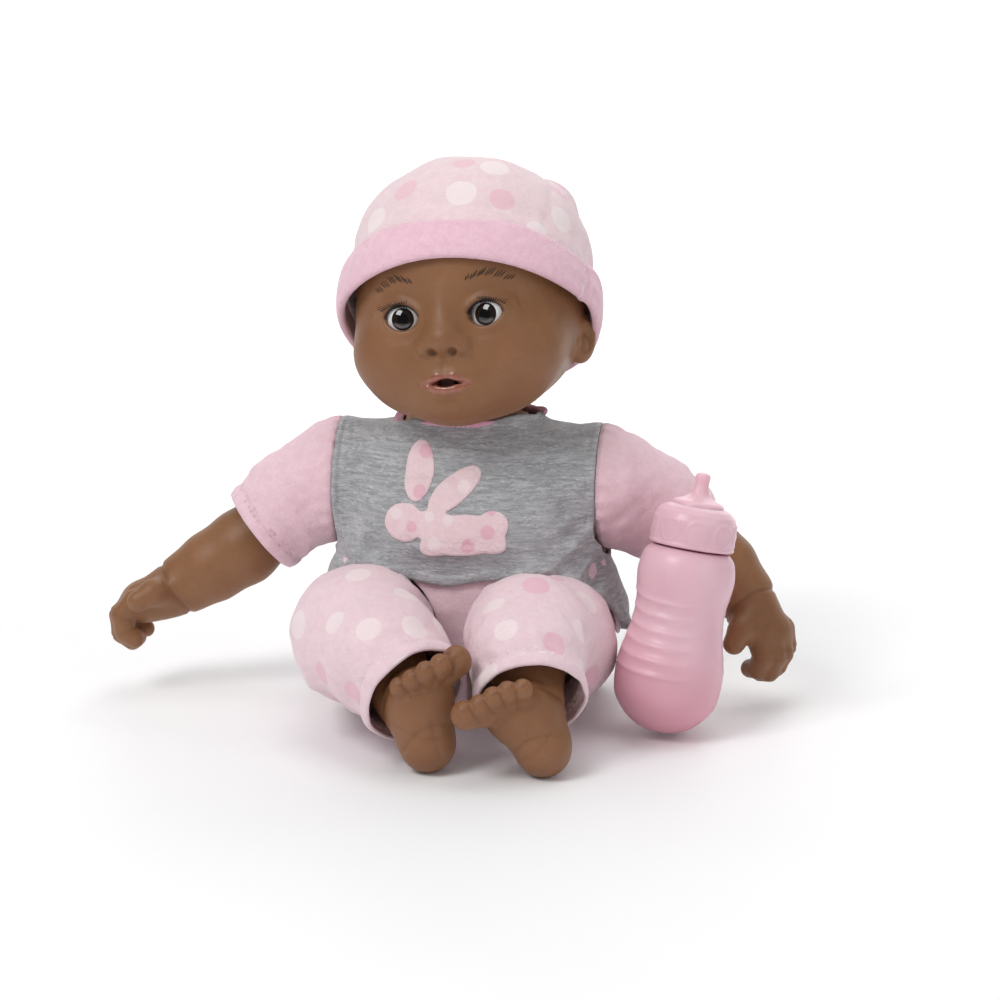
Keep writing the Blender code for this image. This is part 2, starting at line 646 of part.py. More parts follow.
def build_leg(side):
    path, frame = LEG_PATH[side], "leg_" + side
    add_part("pants_leg_" + side, sock(*smooth_path(path, LEG_RADII[side]), 1.7),
             "dot_cotton", frame)
    thigh = add_part("thigh_cloth_" + side,
                     limb(path[:3], [23.2, 21.0, 16.5], 14, 3, end_dome=False),
                     "body_cloth", frame)
    knee = Vector(path[2])
    direction = (knee - Vector(path[1])).normalized()
    cut(thigh, "cut_knee_bore_" + side, rod(knee - direction * 12, knee + direction * 4, 9.4, 16))

    # vinyl lower leg: starts just past the cloth thigh, with a spigot inside it
    shin = [knee + direction * 1.9, knee + direction * 10.0, Vector(path[3]) + Vector((0, 0, -2)),
            Vector(path[4]) + Vector((0.5, -1.0, -6.0))]
    leg = add_part("lower_leg_" + side,
                   limb(shin, [12.2, 12.8, 13.2, 12.2], 14, 3, start_dome=False), "skin", frame)
    fuse(leg, "add_leg_spigot_" + side, rod(knee - direction * 9, knee + direction * 6, 8.6, 14))
    add_foot(leg, side)

    # cable tie round the cloth thigh, near the knee
    tie = knee - direction * 4.0
    add_part("leg_tie_" + side, pipe(tie - direction * 1.2, tie + direction * 1.2, 18.9, 17.8, 18),
             "nylon", frame)


def add_foot(leg, side):
    foot = FEET[side]
    fuse(leg, "add_heel_" + side, ball(*foot["heel"], 12, 8))
    fuse(leg, "add_ball_" + side, ball(*foot["ball"], 14, 8))
    fuse(leg, "add_instep_" + side, limb(foot["instep"], [9.0, 9.5], 10, 2))
    for k, (centre, radius) in enumerate(foot["toes"]):
        tip = Vector(centre)
        root = tip + (Vector(foot["ball"][0]) - tip) * 0.42
        toe = limb([root, tip], [radius * 0.9, radius], 8, 2)
        fuse(leg, "add_toe%d_%s" % (k, side), toe)


# ---------------------------------------------------------------- sound module in the torso
def y_rod(x, z, y0, y1, radius, sides):
    return rod((x, y0, z), (x, y1, z), radius, sides)


def build_case():
    """The case's front and back shells, parted by a 0.3 mm gap."""
    cavity = (CASE_WIDTH - 2 * CASE_WALL, 40, CASE_HEIGHT - 2 * CASE_WALL)

    def shell(name, y0, y1):
        bm = block((CASE_X, (y0 + y1) / 2, CASE_Z), (CASE_WIDTH, y1 - y0, CASE_HEIGHT))
        part = add_part(name, bm, "white_plastic", "torso", smooth=False)
        bevel(part, 1.2)
        return part

    front = shell("case_front", CASE_FRONT, CASE_SPLIT)
    cut(front, "cut_case_front", block((CASE_X, CASE_FRONT + CASE_WALL + 20, CASE_Z), cavity))
    y0, y1 = CASE_FRONT - 5, CASE_FRONT + 5
    cut(front, "cut_button_hole", y_rod(CASE_X, CASE_Z, y0, y1, 4.4, 14))
    for i, (x, z) in enumerate(circle(5.2, 5)):
        cut(front, "cut_grille%d" % i, y_rod(SPEAKER_X + x, CASE_Z + z, y0, y1, 1.2, 6))

    back = shell("case_back", CASE_SPLIT + 0.3, CASE_BACK)
    cut(back, "cut_case_back", block((CASE_X, CASE_BACK - 3.4 - 20, CASE_Z), cavity))
    cut(back, "cut_battery_bay", block((DOOR_X, CASE_BACK, CASE_Z), (47.0, 24.0, 22.2)))
    cut(back, "cut_slider_slot", block((SLIDER_X, CASE_BACK, CASE_Z), (2.8, 12, 10.4)))


def build_battery_bay():
    """Door, its screw, two cells side by side in height, and a contact at each end."""
    door = add_part("battery_door", block((DOOR_X, CASE_BACK - 0.9, CASE_Z), (46.2, 1.6, 21.4)),
                    "white_plastic", "torso", smooth=False)
    cut(door, "cut_door_screw", y_rod(DOOR_X, CASE_Z, CASE_BACK - 6, CASE_BACK + 4, 1.5, 14))
    profile = [(1.1, -4.4), (1.1, 0.2), (2.4, 0.2), (2.0, 1.4)]
    screw = add_part("door_screw", turned("Y", profile, (DOOR_X, CASE_BACK, CASE_Z), 14),
                     "steel", "torso")
    cut(screw, "cut_screw_slot", block((DOOR_X, CASE_BACK + 1.6, CASE_Z), (3.0, 1.2, 0.6)))

    cell_y = CASE_BACK - 7.4
    profile = [(5.1, -25.5), (5.1, 16.6), (1.9, 16.6), (1.9, 17.6)]
    for k, z in enumerate((CASE_Z + 5.5, CASE_Z - 5.5)):
        add_part("battery_%d" % (k + 1), turned("X", profile, (CASE_X, cell_y, z), 20),
                 "cell", "torso")
    for side, x in (("left", CASE_X + 18.7), ("right", CASE_X - 26.7)):
        add_part("battery_contact_" + side, block((x, cell_y, CASE_Z), (0.5, 8.0, 18.0)),
                 "steel", "torso", smooth=False)


def build_electronics():
    add_part("circuit_board", block((CASE_X, CASE_FRONT + 12.4, CASE_Z), (50.0, 1.4, 20.0)),
             "green_board", "torso", smooth=False)
    profile = [(8.6, 0.0), (8.6, 2.0), (6.6, 4.4), (6.6, 7.4)]
    add_part("speaker", turned("Y", profile, (SPEAKER_X, CASE_FRONT + 2.2, CASE_Z), 16),
             "black_plastic", "torso")
    add_part("tummy_switch", block((CASE_X, CASE_FRONT + 10.0, CASE_Z), (6.0, 2.8, 6.0)),
             "black_plastic", "torso", smooth=False)
    slider = add_part("power_slider",
                      block((SLIDER_X, CASE_BACK - 0.3, CASE_Z - 2.2), (2.0, 3.4, 4.0)),
                      "black_plastic", "power_slider", smooth=False)
    bevel(slider, 0.3)


def build_button():
    """A broad pad under the tummy cloth on a stem through the case, with its spring."""
    stem_r = 3.8
    profile = [(BUTTON_R - 1.2, 0.0), (BUTTON_R, 1.2), (BUTTON_R, 3.4), (stem_r, 3.6),
               (stem_r, CASE_FRONT + 4.6 - BUTTON_FRONT)]
    add_part("tummy_button", turned("Y", profile, (CASE_X, BUTTON_FRONT, CASE_Z), 24),
             "white_plastic", "tummy_button")

    coil_r, wire_r = 6.2, 0.6
    turns, steps_per_turn = 4, 8
    steps = turns * steps_per_turn
    y0, y1 = BUTTON_FRONT + 5.0, CASE_FRONT - 1.4
    centres = []
    for k in range(steps + 1):
        angle = 2 * math.pi * k / steps_per_turn
        centres.append((CASE_X + coil_r * math.cos(angle), y0 + (y1 - y0) * k / steps,
                        CASE_Z + coil_r * math.sin(angle)))
    wire = join_rings([ring_at(frame, wire_r, 4) for frame in path_frames(centres)])
    add_part("button_spring", wire, "steel", "torso")


# ---------------------------------------------------------------- feeding bottle
def build_bottle():
    """Body, collar and nipple, as (radius, height) profiles along the bottle's axis."""
    wall = 1.6
    outer = [(9.0, -19.0), (15.5, -14.5), (19.3, -7.5), (20.4, 0.0), (20.2, 7.0), (18.6, 15.0),
             (17.2, 23.0), (17.2, 30.0), (18.3, 37.0), (18.5, 42.0), (17.4, 47.4), (15.4, 50.2),
             (14.2, 50.8)]
    # the wall is also raised in height where it turns under to the base
    inner = [(r - wall, h + wall if h < 5 else h) for r, h in outer]
    profile = [(2.0, -20.4)] + outer + inner[::-1] + [(1.0, -18.6)]
    add_part("bottle_body", revolved(profile, BOTTLE, 22), "bottle_pink", "bottle")
    collar = [(14.6, 51.3), (16.4, 51.3), (17.0, 52.6), (17.0, 62.6), (15.2, 65.8),
              (10.4, 67.4), (10.4, 66.0), (14.0, 64.4), (15.2, 61.6)]
    add_part("bottle_collar", revolved(collar, BOTTLE, 22, loop=True), "bottle_pink", "bottle")
    nipple = [(10.0, 64.9), (10.0, 67.6), (7.6, 69.2), (3.8, 71.0), (2.9, 72.8), (2.7, 75.8),
              (2.9, 77.8), (2.2, 79.2), (0.8, 79.7)]
    add_part("bottle_nipple", revolved(nipple, BOTTLE, 14), "bottle_pink", "bottle")


# ---------------------------------------------------------------- build
for finish, values in FINISHES.items():
    add_material(finish, *values)
for row in FRAMES:
    add_frame(*row)

armpit_cuts, shoulder_cuts = shoulder_cutters()
leg_cuts = leg_cutters()
neck_cut = add_helper("cut_neck", ball(NECK, NECK_BALL_R + JOINT_GAP, 20, 12))

build_torso(shoulder_cuts + leg_cuts + [neck_cut])
build_seat(leg_cuts)
build_shirt(shoulder_cuts + armpit_cuts + leg_cuts[::2] + [neck_cut])
add_patch("shirt_print", (70, 96), (-110, -74), (0.6, 1.1), "print_pink", rows=3, columns=5)
add_patch("back_closure", (34, 100), (87, 93), (0.6, 1.6), "white_plastic", rows=8, columns=2)
build_neckband()
build_neck()
build_head()
for side in ("left", "right"):
    build_eye(side)
build_mouth()
build_hat()
for side in SIGN:
    build_arm(side)
    build_leg(side)
build_case()
build_battery_bay()
build_electronics()
build_button()
build_bottle()
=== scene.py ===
"""A baby doll sits on a pale floor with its legs forward and a feeding bottle by its left side.

Shapes are distance fields in millimetres, negative inside. The doll faces -Y, its left is +X and
Z is up from the floor. Head, cap and bottle are shaped in axes of their own and then placed.
"""

import itertools
import math

import bmesh
import bpy
import numpy as np
from mathutils import Matrix, Vector, kdtree

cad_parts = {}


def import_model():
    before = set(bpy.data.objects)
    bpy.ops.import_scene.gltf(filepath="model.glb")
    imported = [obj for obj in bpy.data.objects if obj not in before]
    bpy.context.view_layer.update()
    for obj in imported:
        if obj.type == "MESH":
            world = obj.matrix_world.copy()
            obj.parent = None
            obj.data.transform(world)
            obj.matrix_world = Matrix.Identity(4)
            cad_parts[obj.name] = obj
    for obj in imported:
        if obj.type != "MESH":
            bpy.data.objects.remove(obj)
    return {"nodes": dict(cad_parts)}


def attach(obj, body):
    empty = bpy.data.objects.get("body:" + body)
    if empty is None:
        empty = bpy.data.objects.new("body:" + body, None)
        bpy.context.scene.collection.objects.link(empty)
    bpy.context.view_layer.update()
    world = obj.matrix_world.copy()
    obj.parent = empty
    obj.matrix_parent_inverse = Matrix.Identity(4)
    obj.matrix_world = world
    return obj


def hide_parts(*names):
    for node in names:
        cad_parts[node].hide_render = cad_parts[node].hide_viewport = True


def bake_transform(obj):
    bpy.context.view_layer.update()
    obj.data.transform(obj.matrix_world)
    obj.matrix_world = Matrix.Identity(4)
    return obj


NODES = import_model()["nodes"]
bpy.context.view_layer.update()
MM = 0.001
SIDES = (("right", -1), ("left", 1))   # the doll's own sides and the sign of x there


# ---------------------------------------------------------------- distance fields
def vec(*values):
    return np.array(values, np.float64)


def rot(axis, degrees):
    return np.array(Matrix.Rotation(math.radians(degrees), 3, axis), np.float64)


def unit(vector):
    vector = np.asarray(vector, np.float64)
    return vector / np.linalg.norm(vector)


def length(vectors):
    return np.linalg.norm(vectors, axis=1)


def smin(a, b, blend):
    """Union with a rounded join."""
    overlap = np.maximum(blend - np.abs(a - b), 0) / blend
    return np.minimum(a, b) - overlap * overlap * blend * 0.25


def smax(a, b, blend):
    """Intersection with a rounded join."""
    return -smin(-a, -b, blend)


def bell(offset, width):
    return np.exp(-((offset / width) ** 2))


def ease(value, start, end):
    """Smooth step from 0 at start to 1 at end."""
    share = np.clip((value - start) / (end - start), 0, 1)
    return share * share * (3 - 2 * share)


def wrap(angle):
    return (angle + math.pi) % (2 * math.pi) - math.pi


def mirrored(pts):
    """The points folded over onto the +X half."""
    x, y, z = pts.T
    return np.stack([np.abs(x), y, z], 1)


def oval(pts, centre, radii, axes=None):
    """Ellipsoid, turned by the columns of axes."""
    offset = pts - np.asarray(centre) + 1e-5
    if axes is not None:
        offset = offset @ axes
    radii = np.asarray(radii, np.float64)
    once = np.sqrt(((offset / radii) ** 2).sum(1))
    twice = np.sqrt(((offset / (radii * radii)) ** 2).sum(1))
    return once * (once - 1) / np.maximum(twice, 1e-9)


def cone(pts, start, end, start_radius, end_radius):
    """Cone with a ball at each end."""
    start, end = np.asarray(start, np.float64), np.asarray(end, np.float64)
    axis = end - start
    square = axis @ axis
    taper = start_radius - end_radius
    slant = square - taper * taper
    offset = pts - start
    along = offset @ axis
    beyond = along - square
    across2 = ((offset * square - along[:, None] * axis) ** 2).sum(1)
    along2, beyond2 = along * along * square, beyond * beyond * square
    limit = np.sign(taper) * taper * taper * across2
    dist = np.sqrt(np.maximum(across2 * slant / square, 0)) + along * taper
    dist = dist / square - start_radius
    at_start = np.sign(along) * slant * along2 < limit
    at_end = np.sign(beyond) * slant * beyond2 > limit
    dist = np.where(at_start, np.sqrt(across2 + along2) / square - start_radius, dist)
    return np.where(at_end, np.sqrt(across2 + beyond2) / square - end_radius, dist)


def tube(pts, line, radii, blend=0.0):
    """Cones from point to point of a line."""
    dist = cone(pts, line[0], line[1], radii[0], radii[1])
    for i in range(1, len(line) - 1):
        link = cone(pts, line[i], line[i + 1], radii[i], radii[i + 1])
        dist = smin(dist, link, blend) if blend else np.minimum(dist, link)
    return dist


def spline(line, steps=4):
    """Catmull-Rom curve through the rows of line, with steps points a span."""
    line = np.asarray(line, np.float64)
    knots = np.vstack([2 * line[0] - line[1], line, 2 * line[-1] - line[-2]])
    out = []
    for i in range(1, len(knots) - 2):
        before, start, end, after = knots[i - 1:i + 3]
        for t in np.arange(steps) / steps:
            out.append(0.5 * (2 * start + (end - before) * t
                              + (2 * before - 5 * start + 4 * end - after) * t**2
                              + (3 * start - 3 * end + after - before) * t**3))
    out.append(line[-1])
    return np.array(out)


def line_dist(pts, line):
    """Distance to a polyline, and the share of its length at the closest point."""
    line = np.asarray(line, np.float64)
    best = np.full(len(pts), 1e9)
    where = np.zeros(len(pts))
    spans = len(line) - 1
    for i in range(spans):
        start, span = line[i], line[i + 1] - line[i]
        t = np.clip(((pts - start) @ span) / (span @ span), 0, 1)
        dist = length(pts - start - t[:, None] * span)
        closer = dist < best
        best = np.where(closer, dist, best)
        where = np.where(closer, (i + t) / spans, where)
    return best, where


def fold(pts, line, width, height):
    """Height of a soft fold along a line: full in the middle, gone at its ends."""
    dist, share = line_dist(pts, line)
    fade = np.sin(np.pi * np.clip(share * 0.92 + 0.04, 0, 1)) ** 0.8
    return height * bell(dist, width) * fade


def outline_dist(flat_pts, outline):
    """Signed distance from 2-D points to a closed outline."""
    dist = np.full(len(flat_pts), 1e9)
    inside = np.zeros(len(flat_pts), bool)
    for start, end in zip(outline[:-1], outline[1:]):
        span = end - start
        square = span @ span
        if square < 1e-12:
            continue
        t = np.clip(((flat_pts - start) @ span) / square, 0, 1)
        dist = np.minimum(dist, length(flat_pts - start - t[:, None] * span))
        level = (start[1] > flat_pts[:, 1]) != (end[1] > flat_pts[:, 1])
        rise = span[1] if abs(span[1]) > 1e-12 else 1e-12
        cross_at = start[0] + (flat_pts[:, 1] - start[1]) * span[0] / rise
        inside ^= level & (flat_pts[:, 0] < cross_at)
    return np.where(inside, -dist, dist)


def hash01(i, seed=0):
    x = math.sin(i * 127.1 + seed * 311.7 + 11.3) * 43758.5453
    return x - math.floor(x)


def wobble(pts, size, seed=0):
    """Smooth repeatable variation between about -1 and 1, with waves about size mm long."""
    total = np.zeros(len(pts))
    for i in range(7):
        wave = vec(hash01(i, seed) - 0.5, hash01(i, seed + 5) - 0.5, hash01(i, seed + 9) - 0.5)
        wave = unit(wave) * (2 * math.pi / size) * (0.6 + 0.9 * hash01(i, seed + 13))
        total += np.sin(pts @ wave + 6.28 * hash01(i, seed + 17))
    return total / 3.2


def gradient(field, pts, step):
    out = np.empty_like(pts)
    for i in range(3):
        offset = np.zeros(3)
        offset[i] = step
        out[:, i] = (field(pts + offset) - field(pts - offset)) / (2 * step)
    return out


def normals(field, pts, step):
    slope = gradient(field, pts, step)
    return slope / np.maximum(length(slope), 1e-9)[:, None]


# ---------------------------------------------------------------- meshing
BLOCK = 6   # grid cells along a block that net either works out or skips


def capped(moves, most):
    return moves * np.minimum(1, most / np.maximum(length(moves), 1e-9))[:, None]


def box(points, margin):
    points = np.array(points)
    return points.min(0) - margin, points.max(0) + margin


def net(field, bounds, cell):
    """Points and quads of the surface field = 0, worked out only in blocks near it."""
    low, high = np.asarray(bounds, np.float64)
    blocks = np.maximum(np.ceil((high - low) / (cell * BLOCK)).astype(int), 1)
    middles = [low[i] + (np.arange(blocks[i]) + 0.5) * BLOCK * cell for i in range(3)]
    coarse = field(np.stack(np.meshgrid(*middles, indexing="ij"), -1).reshape(-1, 3))
    coarse = coarse.reshape(blocks)

    def spread(per_block):
        return per_block.repeat(BLOCK, 0).repeat(BLOCK, 1).repeat(BLOCK, 2)

    cells = blocks * BLOCK
    values = np.full(cells + 1, 1e3)
    values[:-1, :-1, :-1] = spread(np.where(coarse < 0, -1e3, 1e3))
    near = np.zeros(cells + 1, bool)
    near[:-1, :-1, :-1] = spread(np.abs(coarse) < BLOCK * cell * 0.87 * 1.45 + cell)
    near[1:] |= near[:-1].copy()
    near[:, 1:] |= near[:, :-1].copy()
    near[:, :, 1:] |= near[:, :, :-1].copy()
    places = np.argwhere(near)
    batch = 150000
    values[near] = np.concatenate([field(low + places[i:i + batch] * cell)
                                   for i in range(0, len(places), batch)])
    inside = values < 0

    # one point in each cell the surface crosses, at the mean of the crossings on its edges
    corners = list(itertools.product((0, 1), repeat=3))
    corner_inside = [inside[tuple(slice(c, c + n) for c, n in zip(corner, cells))]
                     for corner in corners]
    crossed = np.any(corner_inside, 0) & ~np.all(corner_inside, 0)
    found = np.argwhere(crossed)
    ids = np.full(cells, -1, np.int64)
    ids[crossed] = np.arange(len(found))
    corner_values = {corner: values[tuple((found + corner).T)] for corner in corners}
    total = np.zeros((len(found), 3))
    count = np.zeros(len(found))
    for corner in corners:
        for axis in range(3):
            if corner[axis]:
                continue
            a = corner_values[corner]
            b = corner_values[corner[:axis] + (1,) + corner[axis + 1:]]
            crosses = (a < 0) != (b < 0)
            point = np.array(corner, float)[None].repeat(len(found), 0)
            point[:, axis] = np.where(crosses, a / np.where(crosses, a - b, 1), 0)
            total += np.where(crosses[:, None], point, 0)
            count += crosses
    verts = low + (found + total / count[:, None]) * cell

    # one quad round each grid edge the surface crosses
    quads = []
    for axis in range(3):
        u, w = (axis + 1) % 3, (axis + 2) % 3
        edges = np.argwhere(np.diff(inside, axis=axis))
        edges = edges[(edges[:, u] > 0) & (edges[:, w] > 0)
                      & (edges[:, u] < cells[u]) & (edges[:, w] < cells[w])]
        ring = []
        for step_u, step_w in ((-1, -1), (0, -1), (0, 0), (-1, 0)):
            beside = edges.copy()
            beside[:, u] += step_u
            beside[:, w] += step_w
            ring.append(ids[tuple(beside.T)])
        ring = np.stack(ring, 1)
        flip = ~inside[tuple(edges.T)]
        ring[flip] = ring[flip][:, ::-1]
        quads.append(ring)
    quads = np.concatenate(quads)
    quads = quads[(quads >= 0).all(1)]
    for _ in range(3):
        slope = gradient(field, verts, 0.3 * cell)
        square = np.maximum((slope * slope).sum(1), 0.05)
        verts = verts + capped(-(field(verts) / square)[:, None] * slope, 0.55 * cell)
    return verts, quads


def drop_bits(verts, quads, least):
    """Drops loose bits of fewer points than least."""
    label = np.arange(len(verts))
    for _ in range(400):
        lowest = label[quads].min(1)
        new = label.copy()
        for k in range(4):
            np.minimum.at(new, quads[:, k], lowest)
        new = new[new]
        if (new == label).all():
            break
        label = new
    size = np.bincount(label, minlength=len(verts))
    quads = quads[(size[label] >= least)[quads].all(1)]
    used = np.zeros(len(verts), bool)
    used[quads] = True
    return verts[used], (np.cumsum(used) - 1)[quads]


def solid(field, bounds, cell, least):
    return drop_bits(*net(field, bounds, cell), least)


def quad_sides(quads):
    return [quads[:, [i, (i + 1) % 4]] for i in range(4)]


def side_uses(quads):
    """All sides of the quads, and how many quads share each."""
    edges = np.concatenate(quad_sides(quads))
    key = np.sort(edges, 1)
    _, inverse, count = np.unique(key[:, 0] * (quads.max() + 1) + key[:, 1],
                                  return_inverse=True, return_counts=True)
    return edges, count[inverse]


def borders(quads):
    """Edges that only one quad uses, in the direction that quad runs."""
    edges, uses = side_uses(quads)
    return edges[uses == 1]


def neighbour_mean(verts, edge_sets):
    total = np.zeros_like(verts)
    count = np.zeros(len(verts))
    for edges in edge_sets:
        for a, b in (edges.T, edges.T[::-1]):
            np.add.at(total, a, verts[b])
            np.add.at(count, a, 1)
    return total / np.maximum(count, 1)[:, None]


def pulled(field, pts, slope):
    """Points moved along slope onto field = 0."""
    return pts - (field(pts) / np.maximum((slope * slope).sum(1), 0.2))[:, None] * slope


def trimmed(field, trim, bounds, cell):
    """The surface field = 0 where trim < 0, with its edge points moved onto trim = 0."""
    verts, quads = net(field, bounds, cell)
    quads = quads[trim(verts)[quads].mean(1) < 0]
    for _ in range(3):   # drop quads that stick out by three sides
        uses = side_uses(quads)[1]
        quads = quads[(uses == 1).reshape(4, -1).sum(0) < 3]
    verts, quads = drop_bits(verts, quads, 200)
    edge = np.unique(borders(quads))
    pts = verts[edge]
    for _ in range(6):
        normal = normals(field, pts, 0.3)
        slope = gradient(trim, pts, 0.3)
        slope = slope - (slope * normal).sum(1)[:, None] * normal
        square = np.maximum((slope * slope).sum(1), 0.1)
        pts = pts + capped(-(trim(pts) / square)[:, None] * slope, 0.5 * cell)
        pts = pulled(field, pts, normal)
    verts[edge] = pts
    # even out the row next to the edge, then the edge itself
    nearby = np.zeros(len(verts), bool)
    nearby[quads[np.isin(quads, edge).any(1)]] = True
    nearby[edge] = False
    mean = neighbour_mean(verts, quad_sides(quads))
    pts = verts[nearby] * 0.4 + 0.6 * mean[nearby]
    verts[nearby] = pulled(field, pts, gradient(field, pts, 0.3))
    mean = neighbour_mean(verts, [borders(quads)])
    verts[edge] = verts[edge] * 0.5 + 0.5 * mean[edge]
    return verts, quads


def sheet(field, trim, bounds, cell, thick, move=None):
    """Cloth with its outer face on field = 0 inside trim < 0, and rounded edges.

    Returns points, quads and where the points were before move."""
    verts, quads = trimmed(field, trim, bounds, cell)
    normal = normals(field, verts, 0.35)
    base = verts.copy()
    if move is not None:
        verts = verts + move(verts, normal)
    edges = borders(quads)
    count = len(verts)
    rim, inverse = np.unique(edges, return_inverse=True)
    inverse = inverse.reshape(-1, 2)
    outward = np.cross(verts[edges[:, 1]] - verts[edges[:, 0]], normal[edges[:, 0]])
    outward /= np.maximum(length(outward), 1e-9)[:, None]
    out = np.zeros((len(rim), 3))
    np.add.at(out, inverse[:, 0], outward)
    np.add.at(out, inverse[:, 1], outward)
    out /= np.maximum(length(out), 1e-9)[:, None]
    middle = verts[rim] - normal[rim] * thick * 0.5 + out * thick * 0.45
    a, b = edges.T
    middle_a, middle_b = (2 * count + inverse).T
    quads = np.vstack([quads, quads[:, ::-1] + count,
                       np.stack([b, a, middle_a, middle_b], 1),
                       np.stack([middle_b, middle_a, a + count, b + count], 1)])
    rest = np.vstack([base, base - normal * thick, base[rim]])
    return np.vstack([verts, verts - normal * thick, middle]), quads, rest


def drape(field, trim, bounds, cell, held, cap, grow=0.05):
    """Cloth simulation on a coarse copy of a garment, ten times life size.

    The cloth is a little longer than its shape and is blown outwards, so it settles into slack
    folds. held(points) is 1 where it is sewn down. Returns move(points, normals), the shift in
    mm of points near the garment, never more than cap."""
    to_sim = 0.01   # metres in the simulation to a mm of the garment
    steps = 20
    verts, quads = trimmed(field, trim, bounds, cell)
    mesh = bpy.data.meshes.new("sim")
    mesh.from_pydata([tuple(p) for p in verts * to_sim], [], quads.tolist())
    mesh.update()
    garment = bpy.data.objects.new("sim", mesh)
    bpy.context.scene.collection.objects.link(garment)
    group = garment.vertex_groups.new(name="held")
    pinned = np.clip(held(verts), 0, 1)
    for i, weight in enumerate(pinned):
        if weight > 0.01:
            group.add([i], float(weight), "REPLACE")
    modifier = garment.modifiers.new("cloth", "CLOTH")
    cloth = modifier.settings
    cloth.quality = 7
    cloth.mass = 0.3
    cloth.tension_stiffness = cloth.compression_stiffness = 12
    cloth.shear_stiffness = 4
    cloth.bending_stiffness = 0.35
    cloth.shrink_min = cloth.shrink_max = -grow
    cloth.use_pressure = True
    cloth.uniform_pressure_force = 4.0
    cloth.vertex_group_mass = "held"
    cloth.pin_stiffness = 1.0
    cloth.effector_weights.gravity = 0
    modifier.collision_settings.use_collision = False
    modifier.collision_settings.use_self_collision = False
    modifier.point_cache.frame_start, modifier.point_cache.frame_end = 1, steps
    scene = bpy.context.scene
    for frame in range(1, steps + 1):
        scene.frame_set(frame)
    settled = garment.evaluated_get(bpy.context.evaluated_depsgraph_get())
    places = np.empty(len(verts) * 3)
    settled.data.vertices.foreach_get("co", places)
    shift = np.nan_to_num(places.reshape(-1, 3) * 100.0 - verts)
    bpy.data.objects.remove(garment)
    bpy.data.meshes.remove(mesh)
    scene.frame_set(1)
    along = (shift * normals(field, verts, 0.4)).sum(1)
    free = 1 - pinned
    if (free > 0.5).any():   # keep the folds, drop the overall swelling
        along = along - np.median(along[free > 0.5])
    along = np.tanh(along / cap) * cap * free
    tree = kdtree.KDTree(len(verts))
    for i, p in enumerate(verts):
        tree.insert(p, i)
    tree.balance()

    def move(pts, normal):
        out = np.zeros(len(pts))
        for i, p in enumerate(pts):
            found = tree.find_n(p, 6)
            weights = [1.0 / (near[2] ** 2 + 0.6) for near in found]
            total = sum(along[near[1]] * k for near, k in zip(found, weights))
            out[i] = total / sum(weights)
        return normal * out[:, None]

    return move


def make(name, verts, quads, material, frame=None, **looks):
    """A mesh object from points in mm, placed by frame: its axes as columns and its origin.

    Patterns are anchored by the attribute loc, the unplaced point; looks are further
    attributes, a number for all points or one for each."""
    loc = verts
    if frame is not None:   # rounded to single precision, as in Blender's own matrices
        axes, origin = (np.float32(part).astype(float) for part in (frame[0], frame[1] * MM))
        verts = verts @ axes.T + origin / MM
    mesh = bpy.data.meshes.new(name)
    mesh.vertices.add(len(verts))
    mesh.vertices.foreach_set("co", (verts * MM).astype(np.float32).ravel())
    mesh.loops.add(quads.size)
    mesh.polygons.add(len(quads))
    mesh.loops.foreach_set("vertex_index", quads.astype(np.int32).ravel())
    mesh.polygons.foreach_set("loop_start", np.arange(0, quads.size, 4, dtype=np.int32))
    mesh.polygons.foreach_set("use_smooth", np.full(len(quads), True))
    mesh.update(calc_edges=True)
    mesh.validate()
    anchor = mesh.attributes.new("loc", "FLOAT_VECTOR", "POINT")
    anchor.data.foreach_set("vector", np.asarray(loc, np.float32).ravel())
    for key, value in looks.items():
        attribute = mesh.attributes.new(key, "FLOAT", "POINT")
        attribute.data.foreach_set("value", np.full(len(verts), value, np.float32))
    piece = bpy.data.objects.new(name, mesh)
    bpy.context.scene.collection.objects.link(piece)
    mesh.materials.append(material)
    return piece


def fit(piece, body, node):
    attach(piece, body)
    if node:
        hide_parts(node)


def grid_mesh(rows, closed=True):
    """Rows of points joined into quads."""
    count = len(rows[0])
    quads = []
    for j in range(len(rows) - 1):
        for i in range(count if closed else count - 1):
            k = (i + 1) % count
            quads.append((j * count + i, j * count + k, (j + 1) * count + k, (j + 1) * count + i))
    return np.concatenate([np.asarray(row, np.float64) for row in rows]), np.array(quads)


def strand(start, control, end, start_radius, end_radius, count=5, around=6):
    """A thin tapered hair that bends from start towards control and on to end."""
    t = np.linspace(0, 1, count)
    line = (((1 - t) ** 2)[:, None] * start + (2 * t * (1 - t))[:, None] * control
            + (t * t)[:, None] * end)
    rows = []
    for i in range(count):
        along = unit(line[min(i + 1, count - 1)] - line[max(i - 1, 0)])
        u = unit(np.cross(along, (0.31, 0.2, 0.93)))
        w = np.cross(along, u)
        radius = start_radius + (end_radius - start_radius) * t[i]
        if i in (0, count - 1):
            radius *= 0.35
        rows.append([line[i] + radius * (math.cos(turn) * u + math.sin(turn) * w)
                     for turn in np.arange(around) * 2 * math.pi / around])
    return grid_mesh(rows)


def join_meshes(parts):
    verts, quads, count = [], [], 0
    for part_verts, part_quads in parts:
        verts.append(part_verts)
        quads.append(part_quads + count)
        count += len(part_verts)
    return np.concatenate(verts), np.concatenate(quads)


# ---------------------------------------------------------------- material graphs
def rgb(*levels):
    """Linear colour from sRGB levels of 0 to 255."""
    linear = [c / 255 / 12.92 if c / 255 <= 0.04045 else ((c / 255 + 0.055) / 1.055) ** 2.4
              for c in levels]
    return (*linear, 1.0)


